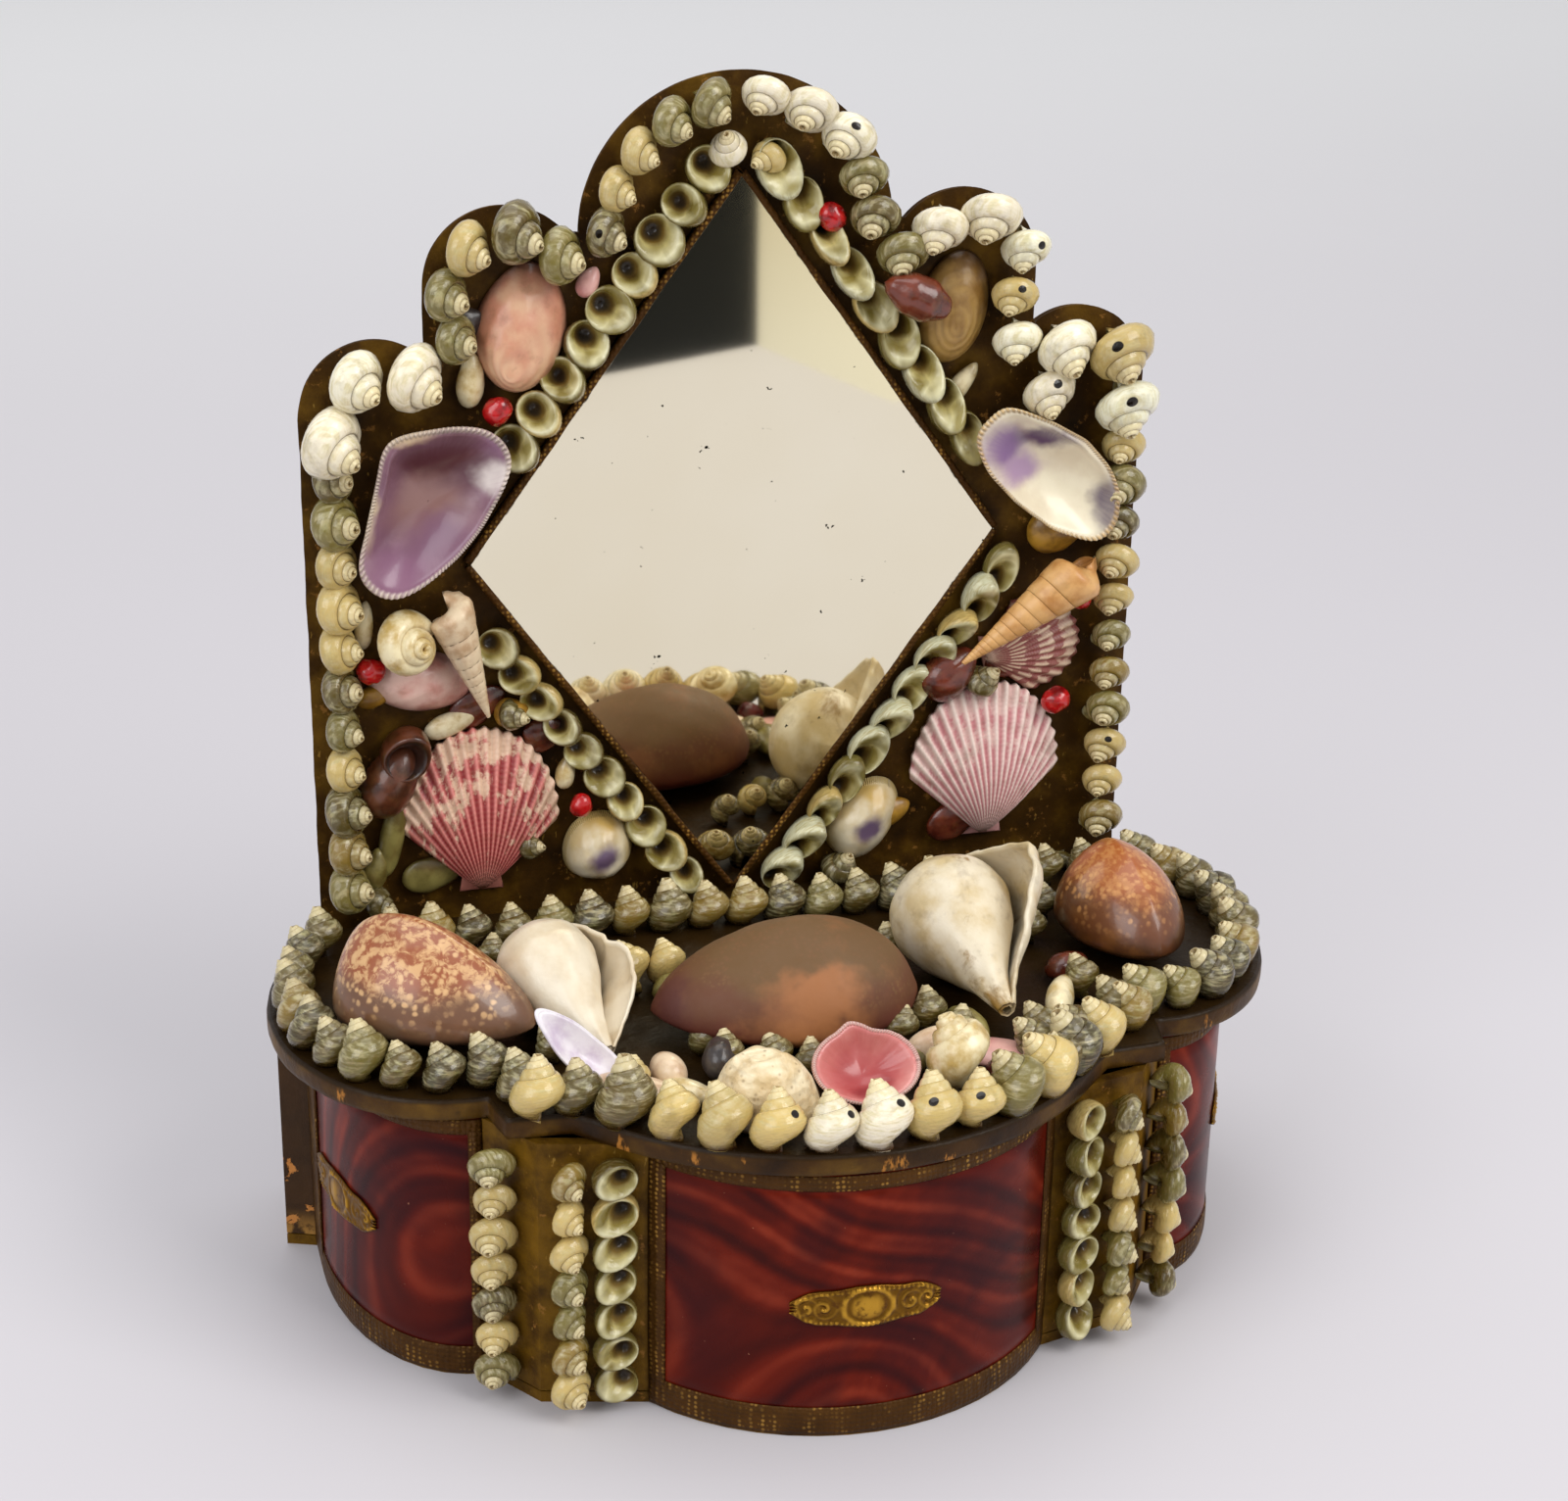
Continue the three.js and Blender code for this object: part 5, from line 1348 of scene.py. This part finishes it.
def panels(marbled, paper):
    """The curved panels, and the brown strips along their edges and beside the pilasters."""
    for kind, node in (("front", "front_panel"), ("left", "side_panel_left"), ("right", "side_panel_right")):
        line = wall_line(kind)
        heap = Heap()
        heap.add(ribbon(line, FLOOR_TOP, WALL_TOP, 0.0, 0.0, 9, -WALL), np.eye(4))
        ship(heap.build("paper_" + kind, marbled), node)
        heap = Heap()
        for low, high in ((0.4, 7.0), (WALL_TOP - 3.6, WALL_TOP - 0.2)):
            heap.add(ribbon(line, low, high, 0.15), np.eye(4))
        for end in (line[:3], line[-3:]):
            heap.add(ribbon(end, 3.0, WALL_TOP - 0.5, 0.3, 0.3), np.eye(4))
        ship(heap.build("binding_" + kind, paper))


def plate(name, outline, levels, stand, material, node, ragged=0.0):
    """A card plate with soft edges. levels run from one side to the other as (level, how far inside the outline),
    and stand turns a flat point and its level into a place."""
    line = np.array(outline)
    line = line + ragged * ripple(line[:, 0], line[:, 1], 4, 2)[:, None] * np.array([0.5, 0.5])
    rings = [np.column_stack([offset_line(np.vstack([line[-1:], line, line[:1]]), inset)[1:-1],
                              np.full(len(line), level)]) for level, inset in levels]
    points = [stand(*p) for ring in rings for p in ring]
    count = len(line)
    quads = grid_faces(len(rings), count, close_columns=True)
    last = (len(rings) - 1) * count
    caps = [list(range(count))[::-1], [last + i for i in range(count)]]
    mesh = bpy.data.meshes.new(name)
    mesh.from_pydata([Vector(p) * MM for p in points], [], [list(map(int, q)) for q in quads] + caps)
    mesh.polygons.foreach_set("use_smooth", [True] * len(quads) + [False, False])
    mesh.materials.append(material)
    obj = bpy.data.objects.new(name, mesh)
    bpy.context.collection.objects.link(obj)
    return ship(obj, node)


def even(line, step):
    """A closed outline walked in even steps that keep its corners."""
    out = []
    for k, start in enumerate(line):
        stop = line[(k + 1) % len(line)]
        count = max(1, int(math.hypot(stop[0] - start[0], stop[1] - start[1]) / step))
        out += [(start[0] + (stop[0] - start[0]) * i / count, start[1] + (stop[1] - start[1]) * i / count)
                for i in range(count)]
    return out


def both_halves(right):
    """A closed outline from its right half, which runs from one end to the other."""
    return right + [(-x, y) for x, y in right[::-1]]


def board_outline():
    low = arc(BOARD_HALF - 16, 185.5, 16, 0, 130, 28)
    mid = arc(51, 212, 17, 0, 140, 30)
    foot = math.degrees(math.asin(1.3 / 34.5))
    bow = arc(0, 221.2, 34.5, foot, 90, 36)
    return even(both_halves([(BOARD_HALF, BOARD_FOOT)] + low + [(68, 199.3)] + mid + bow[:-1]), 1.5)


def lid_outline():
    lobe = [(76 + 36 * math.cos(math.radians(t)), -41 + 45 * math.sin(math.radians(t)))
            for t in np.linspace(54, -95, 60)]
    front = arc(0, -56.6, 69.2, -42, -90, 40)
    return even(both_halves([(97, -0.6)] + lobe + [(70.8, -95.8), (57.5, -96.7)] + front[:-1]), 1.5)


def card_plates(card, lid):
    """The back board and the lid, with rounded rubbed edges."""
    plate("board_card", board_outline(), [(3, 0), (0.5, 0), (0.15, -0.15), (0, -0.5)],
          lambda u, v, d: (u, BOARD_Y + d, np.maximum(v, 0)), card, "back_board", 0.25)
    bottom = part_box("lid")[0][2] / MM
    levels = [(bottom, -0.6), (bottom + 0.3, -0.12), (bottom + 1.2, 0.0), (LID_Z - 1.2, 0.0),
              (LID_Z - 0.3, -0.2), (LID_Z, -0.8)]
    plate("lid_card", lid_outline()[::-1], [(z, -inset) for z, inset in levels],
          lambda u, v, d: (u, BOARD_Y + v, d), lid, "lid", 0.3)


def foil_piece(line, middle, z, length, height, name, node, foil, torn=False):
    """Pressed foil lozenge with scrolled ends, a beaded border and a plain oval boss."""
    line = np.array(line, float)
    steps = np.concatenate([[0], np.cumsum(np.linalg.norm(np.diff(line, axis=0), axis=1))])
    centre = middle * steps[-1]
    columns, rows = 121, 41
    s = np.linspace(-1, 1, columns)
    t = np.linspace(-1, 1, rows)
    half = 0.5 * height * (0.34 + 0.66 * np.cos(np.abs(s) * math.pi / 2) ** 0.8 + 0.12 * np.cos(s * 9) * np.abs(s))
    end = 1 - 0.06 * np.cos(t * math.pi * 3)[:, None] * np.ones_like(s)[None, :]
    S = s[None, :] * end
    T = t[:, None] + 0 * s[None, :]
    X, Y = S * length / 2, T * half[None, :]
    boss = np.clip(1 - (X / (0.13 * length)) ** 2 - (Y / (0.34 * height)) ** 2, 0, 1) ** 0.5
    ring = np.exp(-((np.hypot(X / (0.17 * length), Y / (0.42 * height)) - 1) / 0.14) ** 2)
    scroll = 0.0
    for cx, turn in ((0.3, 1), (-0.3, -1), (0.42, -1), (-0.42, 1)):
        dx, dy = X - cx * length, Y
        radius, angle = np.hypot(dx, dy) + 0.05, np.arctan2(dy, dx)
        scroll = np.maximum(scroll, np.exp(-radius / (0.1 * length)) * (0.5 + 0.5 * np.cos(turn * angle + radius * 3.4)))
    border = np.exp(-((np.abs(T) - 0.86) / 0.09) ** 2) * (0.6 + 0.4 * np.cos(S * 90))
    rise = np.clip(0.75 * boss + 0.6 * ring + 0.9 * scroll + 0.55 * border, 0, 1)
    if torn:
        rise = rise * (0.75 + 0.25 * np.sin(X * 0.8))
    at = centre + X
    x = np.interp(at, steps, line[:, 0])
    y = np.interp(at, steps, line[:, 1])
    tangent = np.gradient(line, axis=0)
    tangent /= np.linalg.norm(tangent, axis=1)[:, None]
    nx, ny = np.interp(at, steps, tangent[:, 1]), -np.interp(at, steps, tangent[:, 0])
    sign = -1 if (nx * x + ny * (y + 50)).mean() < 0 else 1
    lift = sign * (0.45 + 0.75 * rise)
    top = np.stack([x + nx * lift, y + ny * lift + BOARD_Y, z + Y], 2)
    low = np.stack([x + nx * sign * 0.1, y + ny * sign * 0.1 + BOARD_Y, z + Y], 2)
    ray = np.stack([rise, 0 * rise, 0 * rise], 2)
    n = rows * columns
    faces = [grid_faces(rows, columns), grid_faces(rows, columns, flip=True) + n]
    rim = np.concatenate([np.arange(columns) + (rows - 1) * columns, (np.arange(rows)[::-1] + 1) * columns - 1,
                          np.arange(columns)[::-1], np.arange(rows) * columns])
    faces.append(np.stack([rim[:-1] + n, rim[1:] + n, rim[1:], rim[:-1]], 1))
    heap = Heap()
    heap.add((np.concatenate([top.reshape(-1, 3), low.reshape(-1, 3)]), np.concatenate(faces),
              np.concatenate([ray.reshape(-1, 3)] * 2)), np.eye(4))
    ship(heap.build(name, foil), node)


def foils(foil):
    z = 31
    foil_piece(wall_line("front"), 0.53, z, 30, 9.5, "foil_front_pressed", "foil_front", foil)
    foil_piece(wall_line("right"), 0.42, z, 30, 9.5, "foil_right_pressed", "foil_right", foil)
    foil_piece(wall_line("left"), 0.58, z, 30, 9.5, "foil_left_pressed", "foil_left", foil, True)


def mirror_frame(paper):
    """Worn paper that binds the four edges of the mirror."""
    _, cz, half_x, half_z = [v / MM for v in mirror_shape()]
    corners = [(half_x, cz), (0, cz + half_z), (-half_x, cz), (0, cz - half_z)]
    heap = Heap()
    for k, start in enumerate(corners):
        stop = corners[(k + 1) % 4]
        length = math.hypot(stop[0] - start[0], stop[1] - start[1])
        across = ((stop[0] - start[0]) / length, 0, (stop[1] - start[1]) / length)
        inward = (-across[2], 0, across[0])
        surface = face((start[0], MIRROR_Y, start[1]), across, inward, (0, -1, 0))
        heap.add(edge_strip(length), surface)
    ship(heap.build("mirror_binding", paper))


def edge_strip(length):
    """A thin uneven strip along +X whose section wraps an edge."""
    section = np.array([(-0.9, -2.4), (-0.95, 0.1), (-0.3, 0.3), (0.45, 0.22), (0.6, -0.02), (-0.2, -0.3)])
    x = np.linspace(0.4, length - 0.4, 80)
    wobble = 0.16 * ripple(x, 0 * x, 5, length)[:, None]
    y = section[None, :, 0] + wobble * (section[None, :, 0] > 0)
    z = section[None, :, 1] + 0 * y
    points = np.stack([x[:, None] + 0 * y, y, z], 2)
    n, m = points.shape[:2]
    faces = grid_faces(n, m, close_columns=True)
    caps = [centre_fan(0, m, False), centre_fan((n - 1) * m, m, True)]
    return points.reshape(-1, 3), np.concatenate([faces, *caps]), np.zeros((n * m, 3))


def seeds(red):
    """Red seeds glued in the gaps."""
    heap = Heap()
    for k, (u, v, size) in enumerate([(-82.8, 129.8, 6.4), (-53.8, 186.7, 6.6), (-36.4, 93.3, 5.6),
                                      (19.3, 225.5, 6.6), (81.2, 134.3, 6.0), (76.6, 109.4, 7.0)]):
        heap.add(seed_form(size, k), on(BOARD, u, v, 40 * k, 2.6), seed=k)
    ship(heap.build("red_seeds", red))


def carry_over(card, post, mirror):
    """Materials of the card parts whose shape is right in the CAD."""
    for material, names in ((card, ("box_floor", "box_back_wall", "pilaster_left", "pilaster_right")),
                            (post, ("rear_post_left", "rear_post_right")), (mirror, ("mirror_glass",))):
        for name in names:
            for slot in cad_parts[name].material_slots:
                slot.material = material


# Stage, light and camera

def plain_sheet(name, corners, near, far=None, rough=0.6):
    """A flat plain sheet whose tone drifts evenly from near to far."""
    mesh = bpy.data.meshes.new(name)
    mesh.from_pydata([Vector(c) * MM for c in corners], [], [list(range(len(corners)))])
    obj = bpy.data.objects.new(name, mesh)
    bpy.context.collection.objects.link(obj)
    f = Finish(name, roughness=rough, specular=0.2)
    drift = f.fade(f.times_plus(f.noise(f.place(), 3, 2), 0.05, f.part(f.place(), "Y")), 0.35, 2.0)
    f.paint(f.blend(drift, near, far or near))
    mesh.materials.append(f.material)
    return obj


def stage():
    """A pale table whose front corner, and the dark and pale room past it, show only in the mirror."""
    by = BOARD_Y
    table = [(-6000, 6000, 0), (-6000, -691 + by, 0), (111, -691 + by, 0), (200, -732 + by, 0),
             (234, -623 + by, 0), (700, -500 + by, 0), (6000, -500 + by, 0), (6000, 6000, 0)]
    plain_sheet("table", table, colour(203, 200, 204), colour(255, 255, 255))
    plain_sheet("dark_room", [(-1500, -2500 + by, -1800), (677, -2500 + by, -1800), (677, -2500 + by, 300),
                              (-1500, -2500 + by, 300)], colour(20, 22, 24))
    plain_sheet("pale_room", [(677, -2500 + by, -1800), (3000, -2500 + by, -1800), (3000, -2500 + by, 300),
                              (677, -2500 + by, 300)], colour(226, 222, 210))


def lamp(name, at, aim, size, watts, tone=(1, 1, 1)):
    data = bpy.data.lights.new(name, "AREA")
    data.shape = "RECTANGLE"
    data.size, data.size_y = size
    data.energy = watts
    data.color = tone
    obj = bpy.data.objects.new(name, data)
    obj.location = at
    obj.rotation_euler = (Vector(aim) - Vector(at)).to_track_quat("-Z", "Y").to_euler()
    bpy.context.collection.objects.link(obj)


def lights():
    world = bpy.data.worlds.new("studio")
    bpy.context.scene.world = world
    world.use_nodes = True
    world.node_tree.nodes["Background"].inputs["Color"].default_value = (0.9, 0.9, 0.925, 1)
    world.node_tree.nodes["Background"].inputs["Strength"].default_value = 0.64
    lamp("key", (0.9, -0.9, 1.3), (0, 0, 0.1), (1.0, 1.0), 16, (1, 0.985, 0.96))
    lamp("fill", (-1.1, -0.7, 1.0), (0, 0, 0.1), (1.0, 1.0), 9, (0.97, 0.98, 1))
    lamp("top", (0.0, 0.3, 1.6), (0, 0, 0.1), (1.2, 1.2), 8)
    lamp("room", (1.4, -1.8, -0.2), (1.5, -2.6, -0.6), (1.2, 1.2), 9)


def camera():
    """The photograph's view: from the left and above, with a slight roll."""
    azimuth, elevation, roll = map(math.radians, (-15.782, 22.501, 1.099))
    data = bpy.data.cameras.new("camera")
    data.sensor_width = 36
    data.sensor_fit = "HORIZONTAL"
    data.lens = 67.566
    data.clip_end = 50
    back = Vector((math.sin(azimuth) * math.cos(elevation), -math.cos(azimuth) * math.cos(elevation),
                   math.sin(elevation)))
    right = (-back).cross(Vector((0, 0, 1))).normalized()
    up = right.cross(-back)
    x = right * math.cos(roll) + up * math.sin(roll)
    y = -right * math.sin(roll) + up * math.cos(roll)
    obj = bpy.data.objects.new("camera", data)
    turn = Matrix((x, y, back)).transposed().to_4x4()
    obj.matrix_world = Matrix.Translation(Vector((-158.62, -605.66 + BOARD_Y, 360.76)) * MM) @ turn
    bpy.context.collection.objects.link(obj)
    bpy.context.scene.camera = obj
    bpy.context.scene.view_settings.view_transform = "Standard"


def build():
    pearl = small_shell_finish()
    paper = binding_finish()
    card = card_finish()
    edge_rows(pearl)
    mirror_rows(pearl)
    lid_rows(pearl)
    pilaster_rows(pearl)
    loose_shells(pearl)
    looks = shell_looks()
    singles(looks)
    bits(looks)
    seeds(seed_finish())
    panels(marbled_finish(), paper)
    card_plates(card, lid_finish())
    mirror_frame(paper)
    foils(foil_finish())
    carry_over(card, post_finish(), mirror_finish())


build()
stage()
lights()
camera()
